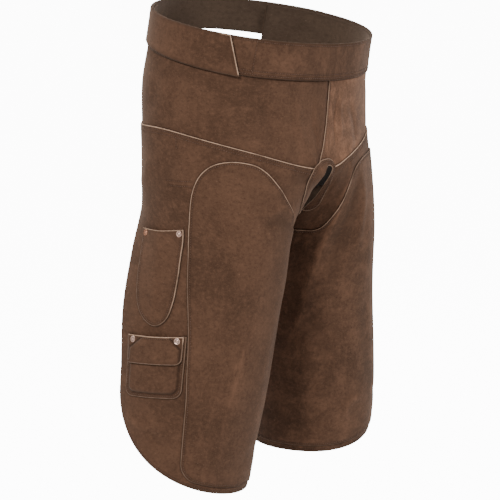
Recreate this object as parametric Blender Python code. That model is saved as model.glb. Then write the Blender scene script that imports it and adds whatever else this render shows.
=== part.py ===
"""Farrier apron of brown suede, in the hollow form that it has when worn.

Metres, +Z up. The origin is the middle of the waist ring, the front faces -Y and the wearer's right is -X.
Every piece is cut from one curved body surface. A place on it is a girth, from the centre front (0) to the
rear edge (1, or -1 on the wearer's right), and a level, which is a height that follows the waist's tilt
near the band and is the plain Z height from the crotch down.
"""

import math

import bmesh
import bpy
from mathutils import Matrix, Vector

# Waist, tilted forward like the pelvis
WAIST_HALF_DEPTH = 0.145
WAIST_TILT = math.radians(13.2)
BAND_HEIGHT = 0.055
BAND_HALF = BAND_HEIGHT / 2 * math.cos(WAIST_TILT)
LEVEL_FLAT = -0.190

# Cloth
SUEDE = 0.0018
BAND_WALL = 0.0020
GAP = 0.0003
LAYER = SUEDE + GAP
YOKE_LIFT = 0.0
LEG_LIFT = LAYER
PATCH_LIFT = 2 * LAYER
BAND_LIFT = LAYER
STRAP_LIFT = BAND_LIFT + BAND_WALL + GAP

# Crotch and seams
CROTCH = -0.187
LEGS_APART = -0.318
INNER_EDGE = 0.002
YOKE_OVER_SLOT = 0.008
SEAM_RISE = 0.061
SEAM_FLAT_TO = {-1: 0.16, 1: 0.0}
SEAM_FULL_AT = {-1: 0.84, 1: 0.78}
SEAM_LAP = 0.012
SEAM_LAP_FULL_AT = {-1: 0.24, 1: 0.07}
FRONT_LAP = 0.150
FRONT_LAP_START, FRONT_LAP_BEND = -0.050, 1.7
FRONT_LAP_CORNER = 0.012
UNDER_LAP = 0.075
UNDER_LAP_START, UNDER_LAP_RAMP = 0.055, 0.045
YOKE_BELOW_BAND_TOP = 0.004

# Lengths of the two leg panels, and the big round of their outer corner
HEM = {-1: -0.678, 1: -0.658}
HEM_ROUND_START = 0.30
HEM_ROUND_HEIGHT = 0.160
PATCH_ABOVE_HEM = 0.011

GIRTH_LENGTH = 0.41

# A row for each height of the wearer's form: the hips' oval, one leg's oval, how far its panel wraps
# inwards and outwards in degrees from the front, and how much its rear edge flares
FORM_COLUMNS = (
    "height", "hip_rx", "hip_ry", "hip_y", "leg_x", "leg_y", "leg_rx", "leg_ry", "inward", "outward", "flare",
)
FORM = (
    (-0.700, 0.1920, 0.1470, 0.004, 0.142, 0.032, 0.091, 0.095, 126, 118, 0.12),
    (-0.600, 0.1920, 0.1470, 0.004, 0.135, 0.016, 0.092, 0.098, 121, 120, 0.18),
    (-0.500, 0.1920, 0.1470, 0.004, 0.121, 0.006, 0.092, 0.102, 114, 122, 0.28),
    (-0.400, 0.1920, 0.1470, 0.004, 0.105, 0.000, 0.091, 0.105, 106, 125, 0.38),
    (-0.300, 0.1920, 0.1470, 0.004, 0.096, -0.007, 0.088, 0.111, 98, 132, 0.29),
    (-0.240, 0.1950, 0.1510, 0.009, 0.096, -0.008, 0.087, 0.111, 94, 142, 0.16),
    (-0.190, 0.1920, 0.1500, 0.008, 0.094, -0.008, 0.086, 0.112, 92, 145, 0.08),
    (-0.120, 0.1880, 0.1490, 0.013, 0.094, -0.008, 0.086, 0.112, 92, 145, 0.00),
    (-0.060, 0.1855, 0.1505, 0.012, 0.094, -0.008, 0.086, 0.112, 92, 145, 0.00),
    (0.000, 0.1820, 0.1490, 0.000, 0.094, -0.008, 0.086, 0.112, 92, 145, 0.00),
    (0.080, 0.1820, 0.1490, -0.019, 0.094, -0.008, 0.086, 0.112, 92, 145, 0.00),
)

# Which direction round the hips, in degrees from the front, each girth has
AROUND_COLUMNS = ("girth", "degrees")
AROUND = (
    (0.000, 0.0),
    (0.100, 4.5),
    (0.227, 12.0),
    (0.432, 35.0),
    (0.636, 68.0),
    (0.841, 103.0),
    (1.000, 140.0),
    (1.200, 180.0),
)
BACK = AROUND[-1][0]

# The tables of outlines give a place in each row
PLACE_COLUMNS = ("girth", "level")

# Top edge of each wear patch, from the leg's inner edge over the thigh to its outer side. The left one
# climbs more steeply
PATCH_TOP = {
    -1: (
        (0.002, -0.300),
        (0.030, -0.294),
        (0.070, -0.290),
        (0.130, -0.290),
        (0.210, -0.289),
        (0.260, -0.276),
        (0.300, -0.250),
        (0.345, -0.227),
        (0.395, -0.203),
        (0.430, -0.188),
        (0.470, -0.177),
        (0.530, -0.172),
        (0.585, -0.177),
        (0.625, -0.191),
        (0.655, -0.211),
        (0.685, -0.241),
        (0.707, -0.260),
        (0.730, -0.278),
        (0.748, -0.298),
        (0.756, -0.325),
        (0.756, -0.360),
        (0.745, -0.420),
        (0.737, -0.480),
        (0.730, -0.520),
    ),
    1: (
        (0.002, -0.300),
        (0.030, -0.294),
        (0.070, -0.290),
        (0.130, -0.289),
        (0.195, -0.289),
        (0.230, -0.282),
        (0.246, -0.265),
        (0.255, -0.244),
        (0.258, -0.224),
        (0.264, -0.206),
        (0.290, -0.191),
        (0.360, -0.180),
        (0.450, -0.174),
        (0.530, -0.172),
        (0.585, -0.177),
        (0.625, -0.191),
        (0.655, -0.211),
        (0.685, -0.241),
        (0.707, -0.260),
        (0.730, -0.278),
        (0.748, -0.298),
        (0.756, -0.325),
        (0.756, -0.360),
        (0.745, -0.420),
        (0.737, -0.480),
        (0.730, -0.520),
    ),
}
PATCH_SIDE_GIRTH = 0.721
PATCH_CORNER = 0.022

# The crotch slot, which hangs open towards the wearer's right: its edge from the left end over the top to
# the right end, and the edges of the two leg panels beside it, from the inner edge upwards
SLOT = (
    (0.092, -0.252),
    (0.094, -0.240),
    (0.087, -0.228),
    (0.070, -0.217),
    (0.049, -0.207),
    (0.032, -0.198),
    (0.014, -0.190),
    (-0.012, -0.1852),
    (-0.060, -0.1840),
    (-0.090, -0.188),
    (-0.112, -0.196),
    (-0.120, -0.209),
    (-0.117, -0.224),
    (-0.105, -0.243),
    (-0.098, -0.256),
)
LEG_BESIDE_SLOT = {
    -1: (
        (0.002, -0.298),
        (0.055, -0.282),
        (0.108, -0.258),
        (0.114, -0.243),
        (0.126, -0.224),
        (0.129, -0.209),
        (0.124, -0.197),
        (0.115, -0.190),
    ),
    1: (
        (0.002, -0.298),
        (0.045, -0.282),
        (0.092, -0.264),
        (0.102, -0.251),
        (0.104, -0.239),
        (0.097, -0.2265),
        (0.080, -0.2155),
        (0.058, -0.205),
        (0.042, -0.1965),
        (0.030, -0.190),
    ),
}

# Outline of the horseshoe round the slot, from its right end over the top to its left end
HORSESHOE = (
    (-0.115, -0.262),
    (-0.180, -0.257),
    (-0.222, -0.243),
    (-0.234, -0.225),
    (-0.231, -0.207),
    (-0.225, -0.193),
    (-0.200, -0.182),
    (-0.150, -0.1755),
    (-0.085, -0.1730),
    (-0.030, -0.1740),
    (0.015, -0.1785),
    (0.045, -0.186),
    (0.080, -0.199),
    (0.114, -0.212),
    (0.135, -0.227),
    (0.151, -0.240),
    (0.150, -0.251),
    (0.125, -0.257),
    (0.095, -0.256),
)

# Knife pocket, a tongue on the right thigh, from its front top corner round the bottom to its rear one
KNIFE_POCKET = (
    (0.742, -0.272),
    (0.776, -0.308),
    (0.790, -0.345),
    (0.803, -0.380),
    (0.824, -0.405),
    (0.862, -0.416),
    (0.902, -0.408),
    (0.930, -0.388),
    (0.942, -0.355),
    (0.941, -0.320),
    (0.932, -0.280),
)
KNIFE_BULGE = 0.0026
KNIFE_FLAT_EDGE, KNIFE_RAMP = 0.006, 0.030
KNIFE_MOUTH = 0.0015
KNIFE_RIVETS = {"front": (0.763, -0.2785), "rear": (0.913, -0.2855)}

# Tool pocket with its flange, raised front and flap, a little lower at the rear
TOOL_FRONT, TOOL_REAR = 0.749, 0.961
TOOL_TOP, TOOL_BOTTOM = -0.427, -0.517
TOOL_DROP = -0.0080
TOOL_CORNER = 0.012
TOOL_FLANGE = 0.0065
TOOL_RAMP = 0.0022
TOOL_RAISE = 0.0036
TOOL_MOUTH = 0.012
TOOL_CLIP = 0.0185
TOOL_CLIP_SPREAD = math.tan(math.radians(22.5))
TOOL_FACE_OVER = 0.004
FLAP_INSET = 0.0035
FLAP_HEIGHT = 0.040
FLAP_CORNER = 0.008
TOOL_RIVETS = {"front": 0.778, "rear": 0.933}
RIVET_BELOW_TOP = 0.0060

RIVET_RADIUS = 0.0047
RIVET_HEIGHT = 0.0016

# Waist strap: sewn on the left end of the band, round the back and lapped over the right front
BAND_ENDS = (-1.00, 0.97)
STRAP_START = 0.86 - 2 * BACK
STRAP_END_TOP, STRAP_END_LOW = -0.560, -0.516
STRAP_TUCK = 0.004
STRAP_BELOW = 0.002

# Thigh straps, inside the panels and behind the thighs
THIGH_STRAP_HEIGHT = 0.030
THIGH_STRAP_WALL = 0.0015
THIGH_STRAP_OUTER = (0.66, -0.206)
THIGH_STRAP_OUTER_END = 0.975
THIGH_STRAP_REAR = -0.244
THIGH_STRAP_INNER = (0.13, -0.330)
THIGH_STRAP_INNER_END = 0.02
THIGH_STRAP_SLACK = 0.003
THIGH_STRAP_ROUND = 0.24
THIGH_STRAP_LEAVES = Vector((-0.35, 0.0, 0.0))
THIGH_STRAP_ARRIVES = Vector((-0.20, 0.0, 0.0))

# Lines that the whole surface is folded along, so that every layer has the same facets
GIRTH_LINES = [0.0, 0.0225, 0.045, 0.08, 0.12, 0.16] + [0.05 * step for step in range(4, 24)] + [BACK]
LEVEL_LINES = [
    -0.690, -0.660, -0.620, -0.580, -0.540, -0.500, -0.460, -0.430, -0.400, -0.370, -0.345, -0.320, -0.300,
    -0.282, -0.266, -0.252, -0.240, -0.230, -0.220, -0.210, -0.200, -0.190, -0.180, -0.168, -0.155, -0.140,
    -0.120, -0.100, -0.075, -0.050, -BAND_HALF, 0.0, BAND_HALF, 0.035,
]

COLOURS = {
    "yoke": (0.16, 0.085, 0.050),
    "leg": (0.15, 0.080, 0.047),
    "patch": (0.17, 0.092, 0.055),
    "band": (0.17, 0.090, 0.053),
    "pocket": (0.16, 0.086, 0.052),
    "webbing": (0.06, 0.045, 0.038),
    "copper": (0.75, 0.42, 0.30),
}


def smooth(share):
    """An S-shaped rise from 0 to 1."""
    share = min(max(share, 0.0), 1.0)
    return share * share * (3 - 2 * share)


def read(rows, columns, name, at):
    """The named column of a table at a value of its first column, along a smooth curve through the rows."""
    column = columns.index(name)
    keys = [row[0] for row in rows]
    values = [row[column] for row in rows]
    last = len(rows) - 1
    at = min(max(at, keys[0]), keys[last])
    low = max(index for index in range(last) if keys[index] <= at)
    width = keys[low + 1] - keys[low]

    def slope(index):
        before, after = max(index - 1, 0), min(index + 1, last)
        return (values[after] - values[before]) / (keys[after] - keys[before])

    share = (at - keys[low]) / width
    start = values[low] * (1 + 2 * share) * (1 - share) ** 2 + slope(low) * width * share * (1 - share) ** 2
    end = values[low + 1] * share * share * (3 - 2 * share)
    return start + end - slope(low + 1) * width * share * share * (1 - share)


def around(girth):
    return math.radians(read(AROUND, AROUND_COLUMNS, "degrees", girth))


def height_at(girth, level):
    """Height of a level: tilted with the waist near the band, flat from the crotch down."""
    rise = -WAIST_HALF_DEPTH * math.cos(around(girth)) * math.sin(WAIST_TILT)
    tilted = smooth((level - LEVEL_FLAT) / (-BAND_HALF - LEVEL_FLAT))
    return level + rise * tilted


def level_at(girth, height):
    """Level of a height, by halving."""
    low, high = LEVEL_LINES[0], LEVEL_LINES[-1]
    for _ in range(30):
        middle = (low + high) / 2
        if height_at(girth, middle) < height:
            low = middle
        else:
            high = middle
    return (low + high) / 2


def leg_share(height):
    """0 on the hips, 1 where the leg has its own round form."""
    return smooth((CROTCH - height) / (CROTCH - LEGS_APART)) ** 0.7


def form_point(girth, height):
    """The wearer's form on the left side, where X is positive."""
    form = {name: read(FORM, FORM_COLUMNS, name, height) for name in FORM_COLUMNS[1:]}
    hip = around(girth)
    hip_x = form["hip_rx"] * math.sin(hip)
    hip_y = form["hip_y"] - form["hip_ry"] * math.cos(hip)
    degrees = -form["inward"] + min(girth, 1.0) * (form["inward"] + form["outward"])
    peel = max(0.0, (degrees - 35) / (form["outward"] - 35)) ** 2
    stand = 1 + form["flare"] * peel
    leg = math.radians(degrees)
    leg_x = form["leg_x"] + form["leg_rx"] * stand * math.sin(leg)
    leg_y = form["leg_y"] - form["leg_ry"] * stand * math.cos(leg)
    share = leg_share(height)
    return Vector((hip_x + (leg_x - hip_x) * share, hip_y + (leg_y - hip_y) * share, height))


def surface_point(girth, level):
    return form_point(girth, height_at(girth, level))


def surface_normal(girth, level):
    step = 0.004
    low, high = max(girth - step, 0.0), min(girth + step, BACK)
    across = surface_point(high, level) - surface_point(low, level)
    along = surface_point(girth, level + step) - surface_point(girth, level - step)
    normal = across.cross(along).normalized()
    if girth == 0.0 and height_at(0.0, level) > CROTCH:
        normal.x = 0.0
    return normal.normalized()


LATTICE = [
    [(surface_point(girth, level), surface_normal(girth, level)) for level in LEVEL_LINES]
    for girth in GIRTH_LINES
]


def cell_of(value, lines):
    index = max(i for i in range(len(lines) - 1) if lines[i] <= value or i == 0)
    return index, (value - lines[index]) / (lines[index + 1] - lines[index])


def cloth_point(girth, level, lift):
    """A point of the facetted surface, moved out by lift. Past the back, it is on the other side."""
    if girth < -BACK:
        girth += 2 * BACK
    column, u = cell_of(min(abs(girth), BACK), GIRTH_LINES)
    row, v = cell_of(level, LEVEL_LINES)

    def corner(right, up):
        point, normal = LATTICE[column + right][row + up]
        return point + normal * lift

    if u + v <= 1:
        found = corner(0, 0) * (1 - u - v) + corner(1, 0) * u + corner(0, 1) * v
    else:
        found = corner(1, 1) * (u + v - 1) + corner(0, 1) * (1 - u) + corner(1, 0) * (1 - v)
    if girth < 0:
        found.x = -found.x
    return found


def cloth_normal(girth, level):
    column, u = cell_of(min(abs(girth), BACK), GIRTH_LINES)
    row, v = cell_of(level, LEVEL_LINES)
    near = LATTICE[column][row][1].lerp(LATTICE[column + 1][row][1], u)
    far = LATTICE[column][row + 1][1].lerp(LATTICE[column + 1][row + 1][1], u)
    found = near.lerp(far, v).normalized()
    if girth < 0:
        found.x = -found.x
    return found


def curve_through(rows, pieces):
    """Points along a smooth curve through a table's places, with so many pieces between two of them."""
    girth, level = PLACE_COLUMNS.index("girth"), PLACE_COLUMNS.index("level")
    points = [(row[girth], row[level]) for row in rows]
    found = []
    last = len(points) - 1
    for index in range(last):
        before = points[max(index - 1, 0)]
        start, end = points[index], points[index + 1]
        after = points[min(index + 2, last)]
        for step in range(pieces):
            t = step / pieces
            found.append(
                tuple(
                    0.5
                    * (
                        2 * b
                        + (c - a) * t
                        + (2 * a - 5 * b + 4 * c - d) * t * t
                        + (3 * b - a - 3 * c + d) * t ** 3
                    )
                    for a, b, c, d in zip(before, start, end, after)
                )
            )
    found.append(points[last])
    return found


def seam_level(side, girth):
    """Where the leg panel's top edge lies on the yoke."""
    share = (abs(girth) - SEAM_FLAT_TO[side]) / (SEAM_FULL_AT[side] - SEAM_FLAT_TO[side])
    return level_at(abs(girth), CROTCH + SEAM_RISE * smooth(share))


def front_edge(level):
    """Girth of the left yoke's front edge, which bends over to the wearer's right as it goes down."""
    share = min(max((FRONT_LAP_START - level) / (FRONT_LAP_START - CROTCH), 0.0), 1.0)
    return -FRONT_LAP * share ** FRONT_LAP_BEND


def yoke_level(side, girth):
    """The yoke's hidden lower edge, which clears the top of the crotch slot."""
    drop = (SEAM_LAP + YOKE_OVER_SLOT) * smooth(abs(girth) / SEAM_LAP_FULL_AT[side])
    return seam_level(side, girth) + YOKE_OVER_SLOT - drop


def hem_level(side, girth):
    """The hem, level round the inner half and rising in a quarter oval to the rear edge."""
    across = max(0.0, (abs(girth) - HEM_ROUND_START) / (1 - HEM_ROUND_START))
    return HEM[side] + HEM_ROUND_HEIGHT * (1 - math.sqrt(max(0.0, 1 - across * across)))


def spaced(start, end, count):
    return [start + (end - start) * index / count for index in range(count + 1)]


def mirrored(outline, side):
    """The outline for the wearer's left as it is, or turned over for the right."""
    return outline if side > 0 else [(-girth, level) for girth, level in outline]


def pattern_mesh(outline):
    """The triangles of the lattice around an outline, flat, in metres of girth and level."""
    girths = [girth for girth, _ in outline]
    levels = [level for _, level in outline]
    lines = sorted(
        {-line for line in GIRTH_LINES} | set(GIRTH_LINES) | {line - 2 * BACK for line in GIRTH_LINES}
    )
    columns = [
        pair for pair in zip(lines, lines[1:]) if pair[1] > min(girths) and pair[0] < max(girths)
    ]
    rows = [
        pair
        for pair in zip(LEVEL_LINES, LEVEL_LINES[1:])
        if pair[1] > min(levels) and pair[0] < max(levels)
    ]
    mesh = bmesh.new()
    made = {}

    def vertex(girth, level):
        if (girth, level) not in made:
            made[girth, level] = mesh.verts.new((girth * GIRTH_LENGTH, level, 0.0))
        return made[girth, level]

    for left, right in columns:
        on_left_side = (left + right) / 2 > 0 or (left + right) / 2 < -BACK
        for low, high in rows:
            a, b = vertex(left, low), vertex(right, low)
            c, d = vertex(right, high), vertex(left, high)
            if on_left_side:
                mesh.faces.new((a, b, d))
                mesh.faces.new((b, c, d))
            else:
                mesh.faces.new((a, b, c))
                mesh.faces.new((a, c, d))
    return mesh


def score(mesh, outline):
    """Folds the flat mesh along the sides of an outline, where they cross it."""
    corners = [Vector((girth * GIRTH_LENGTH, level, 0.0)) for girth, level in outline]
    for start, end in zip(corners, corners[1:] + corners[:1]):
        along = end - start
        if along.length < 1e-7:
            continue
        normal = Vector((-along.y, along.x, 0.0)).normalized()
        touched = []
        for face in mesh.faces:
            xs = [vertex.co.x for vertex in face.verts]
            ys = [vertex.co.y for vertex in face.verts]
            if min(xs) > max(start.x, end.x) or max(xs) < min(start.x, end.x):
                continue
            if min(ys) > max(start.y, end.y) or max(ys) < min(start.y, end.y):
                continue
            sides = [(vertex.co - start).dot(normal) for vertex in face.verts]
            if min(sides) < 0 < max(sides):
                touched.append(face)
        edges = {edge for face in touched for edge in face.edges}
        verts = {vertex for face in touched for vertex in face.verts}
        geometry = list(verts) + list(edges) + touched
        bmesh.ops.bisect_plane(mesh, geom=geometry, dist=3e-5, plane_co=start, plane_no=normal)


def inside(x, y, outline):
    """Whether a flat place is inside an outline."""
    found = False
    for (xa, ya), (xb, yb) in zip(outline, outline[1:] + outline[:1]):
        if (ya > y) != (yb > y) and x < xa + (xb - xa) * (y - ya) / (yb - ya):
            found = not found
    return found


def trimmed(outline, folds):
    """The flat piece inside an outline, folded along each of the given lines, its own outline among them."""
    mesh = pattern_mesh(outline)
    for line in folds:
        score(mesh, line)
    bmesh.ops.triangulate(mesh, faces=mesh.faces[:])
    flat = [(girth * GIRTH_LENGTH, level) for girth, level in outline]
    outside = []
    for face in mesh.faces:
        centre = face.calc_center_median()
        if not inside(centre.x, centre.y, flat):
            outside.append(face)
    bmesh.ops.delete(mesh, geom=outside, context="FACES")
    return mesh


def edge_distance(girth, level, outline, closed=True):
    """How far a place is from an outline, in metres of cloth."""
    place = Vector((girth * GIRTH_LENGTH, level))
    corners = [Vector((g * GIRTH_LENGTH, v)) for g, v in outline]
    ends = corners[1:] + corners[:1] if closed else corners[1:]
    best = 1.0
    for start, end in zip(corners, ends):
        along = end - start
        share = (place - start).dot(along) / max(along.dot(along), 1e-12)
        best = min(best, (place - start - along * min(max(share, 0.0), 1.0)).length)
    return best


def material(name):
    found = bpy.data.materials.get(name)
    if found:
        return found
    found = bpy.data.materials.new(name)
    found.use_nodes = True
    shader = found.node_tree.nodes["Principled BSDF"]
    shader.inputs["Base Color"].default_value = (*COLOURS[name], 1.0)
    shader.inputs["Metallic"].default_value = 1.0 if name == "copper" else 0.0
    shader.inputs["Roughness"].default_value = 0.35 if name == "copper" else 0.9
    return found


def add_object(name, mesh, finish):
    """Adds a bmesh to the scene as one named solid, with its faces out and its round parts smooth."""
    bmesh.ops.recalc_face_normals(mesh, faces=mesh.faces[:])
    data = bpy.data.meshes.new(name)
    mesh.to_mesh(data)
    mesh.free()
    data.materials.append(material(finish))
    data.shade_smooth()
    data.set_sharp_from_angle(angle=math.radians(40))
    made = bpy.data.objects.new(name, data)
    bpy.context.scene.collection.objects.link(made)
    made.parent = apron
    return made


def wall_from(flat, inner, outer):
    """Thickens a flat mesh between two faces, each a function from a place on the pattern to a point."""
    solid = bmesh.new()
    places = {v: (v.co.x / GIRTH_LENGTH, v.co.y) for v in flat.verts}
    inner_verts = {v: solid.verts.new(inner(*places[v])) for v in flat.verts}
    outer_verts = {v: solid.verts.new(outer(*places[v])) for v in flat.verts}
    for face in flat.faces:
        solid.faces.new([outer_verts[v] for v in face.verts])
        solid.faces.new([inner_verts[v] for v in reversed(face.verts)])
    for edge in flat.edges:
        if not edge.is_boundary:
            continue
        a, b = edge.link_loops[0].vert, edge.link_loops[0].link_loop_next.vert
        solid.faces.new((outer_verts[b], outer_verts[a], inner_verts[a], inner_verts[b]))
    flat.free()
    return solid


def sew(name, outline, lift, wall, finish, folds=()):
    """One cloth piece: its outline on the body surface, how far out it lies, and how thick it is."""
    height = lift if callable(lift) else lambda girth, level: lift
    solid = wall_from(
        trimmed(outline, folds or (outline,)),
        lambda girth, level: cloth_point(girth, level, height(girth, level)),
        lambda girth, level: cloth_point(girth, level, height(girth, level) + wall),
    )
    return add_object(name, solid, finish)


def make_yokes():
    """The two hip panels. The left one laps over the right one at the centre front."""
    top = BAND_HALF - YOKE_BELOW_BAND_TOP
    levels = spaced(top, yoke_level(1, 0.0), 9)[:-1]
    bottom = {side: [(girth, yoke_level(side, girth)) for girth in spaced(0.0, 1.0, 30)] for side in (-1, 1)}
    left = [(front_edge(level), level) for level in levels]
    left += [(-FRONT_LAP, yoke_level(-1, FRONT_LAP) + FRONT_LAP_CORNER)] + bottom[1] + [(1.0, top)]
    sew("yoke_left", left, YOKE_LIFT, SUEDE, "yoke")

    under = [(front_edge(level) + UNDER_LAP, level) for level in levels]
    right = under + mirrored(bottom[-1][1:], -1) + [(-1.0, top)]

    def tuck(girth, level):
        past = girth - front_edge(level) + UNDER_LAP_START
        return YOKE_LIFT - LAYER * smooth(past / UNDER_LAP_RAMP)

    sew("yoke_right", right, tuck, SUEDE, "yoke")


def leg_outline(side):
    beside_slot = curve_through(LEG_BESIDE_SLOT[side], 2)
    seam = [(girth, seam_level(side, girth)) for girth in spaced(beside_slot[-1][0], 1.0, 24)]
    turns = [math.sin(math.radians(90 * step / 12)) for step in range(12, -1, -1)]
    corner = [HEM_ROUND_START + (1 - HEM_ROUND_START) * turn for turn in turns]
    hem = [(girth, hem_level(side, girth)) for girth in corner] + [(INNER_EDGE, HEM[side])]
    return mirrored(seam + hem + beside_slot, side)


def make_legs():
    for side, word in ((-1, "right"), (1, "left")):
        sew(f"leg_{word}", leg_outline(side), LEG_LIFT, SUEDE, "leg")


def patch_outline(side):
    top = curve_through(PATCH_TOP[side], 3)
    low = []
    radius = PATCH_CORNER / GIRTH_LENGTH
    for step in range(7):
        angle = math.radians(90 * step / 6)
        girth = PATCH_SIDE_GIRTH - radius * (1 - math.cos(angle))
        floor = hem_level(side, girth) + PATCH_ABOVE_HEM
        low.append((girth, floor + PATCH_CORNER * (1 - math.sin(angle))))
    end = low[-1][0]
    bottom = [(girth, hem_level(side, girth) + PATCH_ABOVE_HEM) for girth in spaced(end, INNER_EDGE, 10)[1:]]
    return mirrored(top + low + bottom, side)


def make_wear_patches():
    for side, word in ((-1, "right"), (1, "left")):
        sew(f"wear_patch_{word}", patch_outline(side), PATCH_LIFT, SUEDE, "patch")


def make_crotch_patch():
    """A horseshoe over both legs and yokes, round the slot."""
    sew("crotch_patch", curve_through(HORSESHOE, 2) + curve_through(SLOT, 2), PATCH_LIFT, SUEDE, "patch")


def make_waistband():
    """The front band over both yokes, from behind the right hip to behind the left one."""
    start, end = BAND_ENDS
    outline = [(start, -BAND_HALF), (end, -BAND_HALF), (end, BAND_HALF), (start, BAND_HALF)]
    sew("waistband", outline, BAND_LIFT, BAND_WALL, "band")


def make_waist_strap():
    """Round the back, with its pointed end fastened over the right front."""
    low = -BAND_HALF - STRAP_BELOW
    tuck = -BAND_HALF + STRAP_TUCK
    outline = [(STRAP_START, -BAND_HALF), (-1.25, tuck), (-0.92, tuck), (-0.72, -BAND_HALF + 0.001)]
    outline += [(STRAP_END_LOW, low), (STRAP_END_TOP, BAND_HALF), (STRAP_START, BAND_HALF)]
    sew("waist_strap", outline, STRAP_LIFT, BAND_WALL, "band")


def knife_outline():
    return mirrored(curve_through(KNIFE_POCKET, 2), -1)


def knife_lift(girth, level):
    """The knife pocket lies flat on its stitched edge and bows out towards the middle of its mouth."""
    away = edge_distance(girth, level, knife_outline(), closed=False)
    return PATCH_LIFT + KNIFE_BULGE * smooth((away - KNIFE_FLAT_EDGE) / KNIFE_RAMP)


def make_knife_pocket():
    """A tongue-shaped pocket, open at the top between its two rivets."""
    outline = knife_outline()
    front, rear = outline[0], outline[-1]
    middle = ((front[0] + rear[0]) / 2, (front[1] + rear[1]) / 2 - KNIFE_MOUTH)
    sew("knife_pocket", outline + [middle], knife_lift, SUEDE, "pocket")


def tool_level(girth, level):
    """A level on the tool pocket, which sits a little lower towards the rear."""
    share = (abs(girth) - TOOL_FRONT) / (TOOL_REAR - TOOL_FRONT)
    return level + TOOL_DROP * share


def tool_outline(inset, bottom, corner, mouth=0.0):
    """A pocket piece with two round lower corners, and a scooped top if mouth is given."""
    front, rear = TOOL_FRONT + inset / GIRTH_LENGTH, TOOL_REAR - inset / GIRTH_LENGTH
    radius = corner / GIRTH_LENGTH
    points = []
    for step in range(6):
        angle = math.radians(90 * step / 5)
        points.append((front + radius * (1 - math.cos(angle)), bottom + corner * (1 - math.sin(angle))))
    for step in range(6):
        angle = math.radians(90 * step / 5)
        points.append((rear - radius * (1 - math.sin(angle)), bottom + corner * (1 - math.cos(angle))))
    for share in spaced(1.0, 0.0, 8):
        dip = mouth * smooth(math.sin(math.pi * share) * 1.6 - 0.5)
        points.append((front + (rear - front) * share, TOOL_TOP - dip))
    return [(-girth, tool_level(girth, level)) for girth, level in points]


def tool_face(inset):
    """The pocket's raised front, with its upper corners cut off so that the rivets lie on the flange."""
    low = tool_outline(inset, TOOL_BOTTOM + inset, TOOL_CORNER * 0.8)[:12]
    front, rear = low[0][0], low[-1][0]
    clip = TOOL_CLIP + (inset - TOOL_FLANGE) * TOOL_CLIP_SPREAD
    high_front = (front, tool_level(front, TOOL_TOP - clip))
    high_rear = (rear, tool_level(rear, TOOL_TOP - clip))
    across = (clip + TOOL_FACE_OVER) / GIRTH_LENGTH
    top_front = (front - across, tool_level(front, TOOL_TOP + TOOL_FACE_OVER))
    top_rear = (rear + across, tool_level(rear, TOOL_TOP + TOOL_FACE_OVER))
    return [top_front, high_front] + low + [high_rear, top_rear]


def tool_raise(girth, level):
    """How far the pocket's front stands off: nothing on the flange, then a steep side, then flat."""
    foot = tool_face(TOOL_FLANGE)
    flat = [(g * GIRTH_LENGTH, v) for g, v in foot]
    if not inside(girth * GIRTH_LENGTH, level, flat):
        return 0.0
    away = edge_distance(girth, level, foot, closed=False)
    return TOOL_RAISE * min(away / TOOL_RAMP, 1.0)


def tool_lift(girth, level):
    return PATCH_LIFT + tool_raise(girth, level)


def flap_lift(girth, level):
    return PATCH_LIFT + LAYER + tool_raise(girth, level)


def make_tool_pocket():
    """A box pocket pressed out of one piece with its flange, and a flap that covers its mouth."""
    flange = tool_outline(0.0, TOOL_BOTTOM, TOOL_CORNER, TOOL_MOUTH)
    flap = tool_outline(FLAP_INSET, TOOL_TOP - FLAP_HEIGHT, FLAP_CORNER)
    folds = (flange, flap, tool_face(TOOL_FLANGE), tool_face(TOOL_FLANGE + TOOL_RAMP))
    sew("tool_pocket", flange, tool_lift, SUEDE, "pocket", folds)
    sew("tool_pocket_flap", flap, flap_lift, SUEDE, "pocket", folds)


def seat_on(girth, level, lift):
    """Where a flat rivet cap rests on a piece: just off the highest place under it."""
    normal = cloth_normal(girth, level)
    middle = cloth_point(girth, level, lift(girth, level) + SUEDE)
    highest = 0.0
    for step in range(16):
        angle = 2 * math.pi * step / 16
        beside = girth + (RIVET_RADIUS + 0.0002) * math.cos(angle) / GIRTH_LENGTH
        above = level + (RIVET_RADIUS + 0.0002) * math.sin(angle)
        point = cloth_point(beside, above, lift(beside, above) + SUEDE)
        highest = max(highest, (point - middle).dot(normal))
    return middle + normal * (highest + GAP), normal


def make_rivet(name, girth, level, lift):
    """A rivet cap with a rounded rim and a small raised middle, on its place on the cloth."""
    profile = (
        (RIVET_RADIUS, 0.0),
        (RIVET_RADIUS, 0.45),
        (RIVET_RADIUS * 0.82, 0.80),
        (RIVET_RADIUS * 0.42, 0.86),
        (RIVET_RADIUS * 0.34, 1.0),
    )
    segments = 20
    mesh = bmesh.new()
    rings = []
    for radius, share in profile:
        ring = []
        for step in range(segments):
            angle = 2 * math.pi * step / segments
            height = RIVET_HEIGHT * share
            ring.append(mesh.verts.new((radius * math.cos(angle), radius * math.sin(angle), height)))
        rings.append(ring)
    for low, high in zip(rings, rings[1:]):
        for step in range(segments):
            after = (step + 1) % segments
            mesh.faces.new((low[step], low[after], high[after], high[step]))
    mesh.faces.new(rings[0][::-1])
    mesh.faces.new(rings[-1])
    made = add_object(name, mesh, "copper")
    place, normal = seat_on(girth, level, lift)
    turn = normal.to_track_quat("Z", "Y").to_matrix().to_4x4()
    made.matrix_world = Matrix.Translation(place) @ turn


def make_rivets():
    for word, (girth, level) in KNIFE_RIVETS.items():
        make_rivet(f"knife_rivet_{word}", -girth, level, knife_lift)
    for word, girth in TOOL_RIVETS.items():
        level = tool_level(girth, TOOL_TOP) - RIVET_BELOW_TOP
        make_rivet(f"tool_rivet_{word}", -girth, level, flap_lift)


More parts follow.
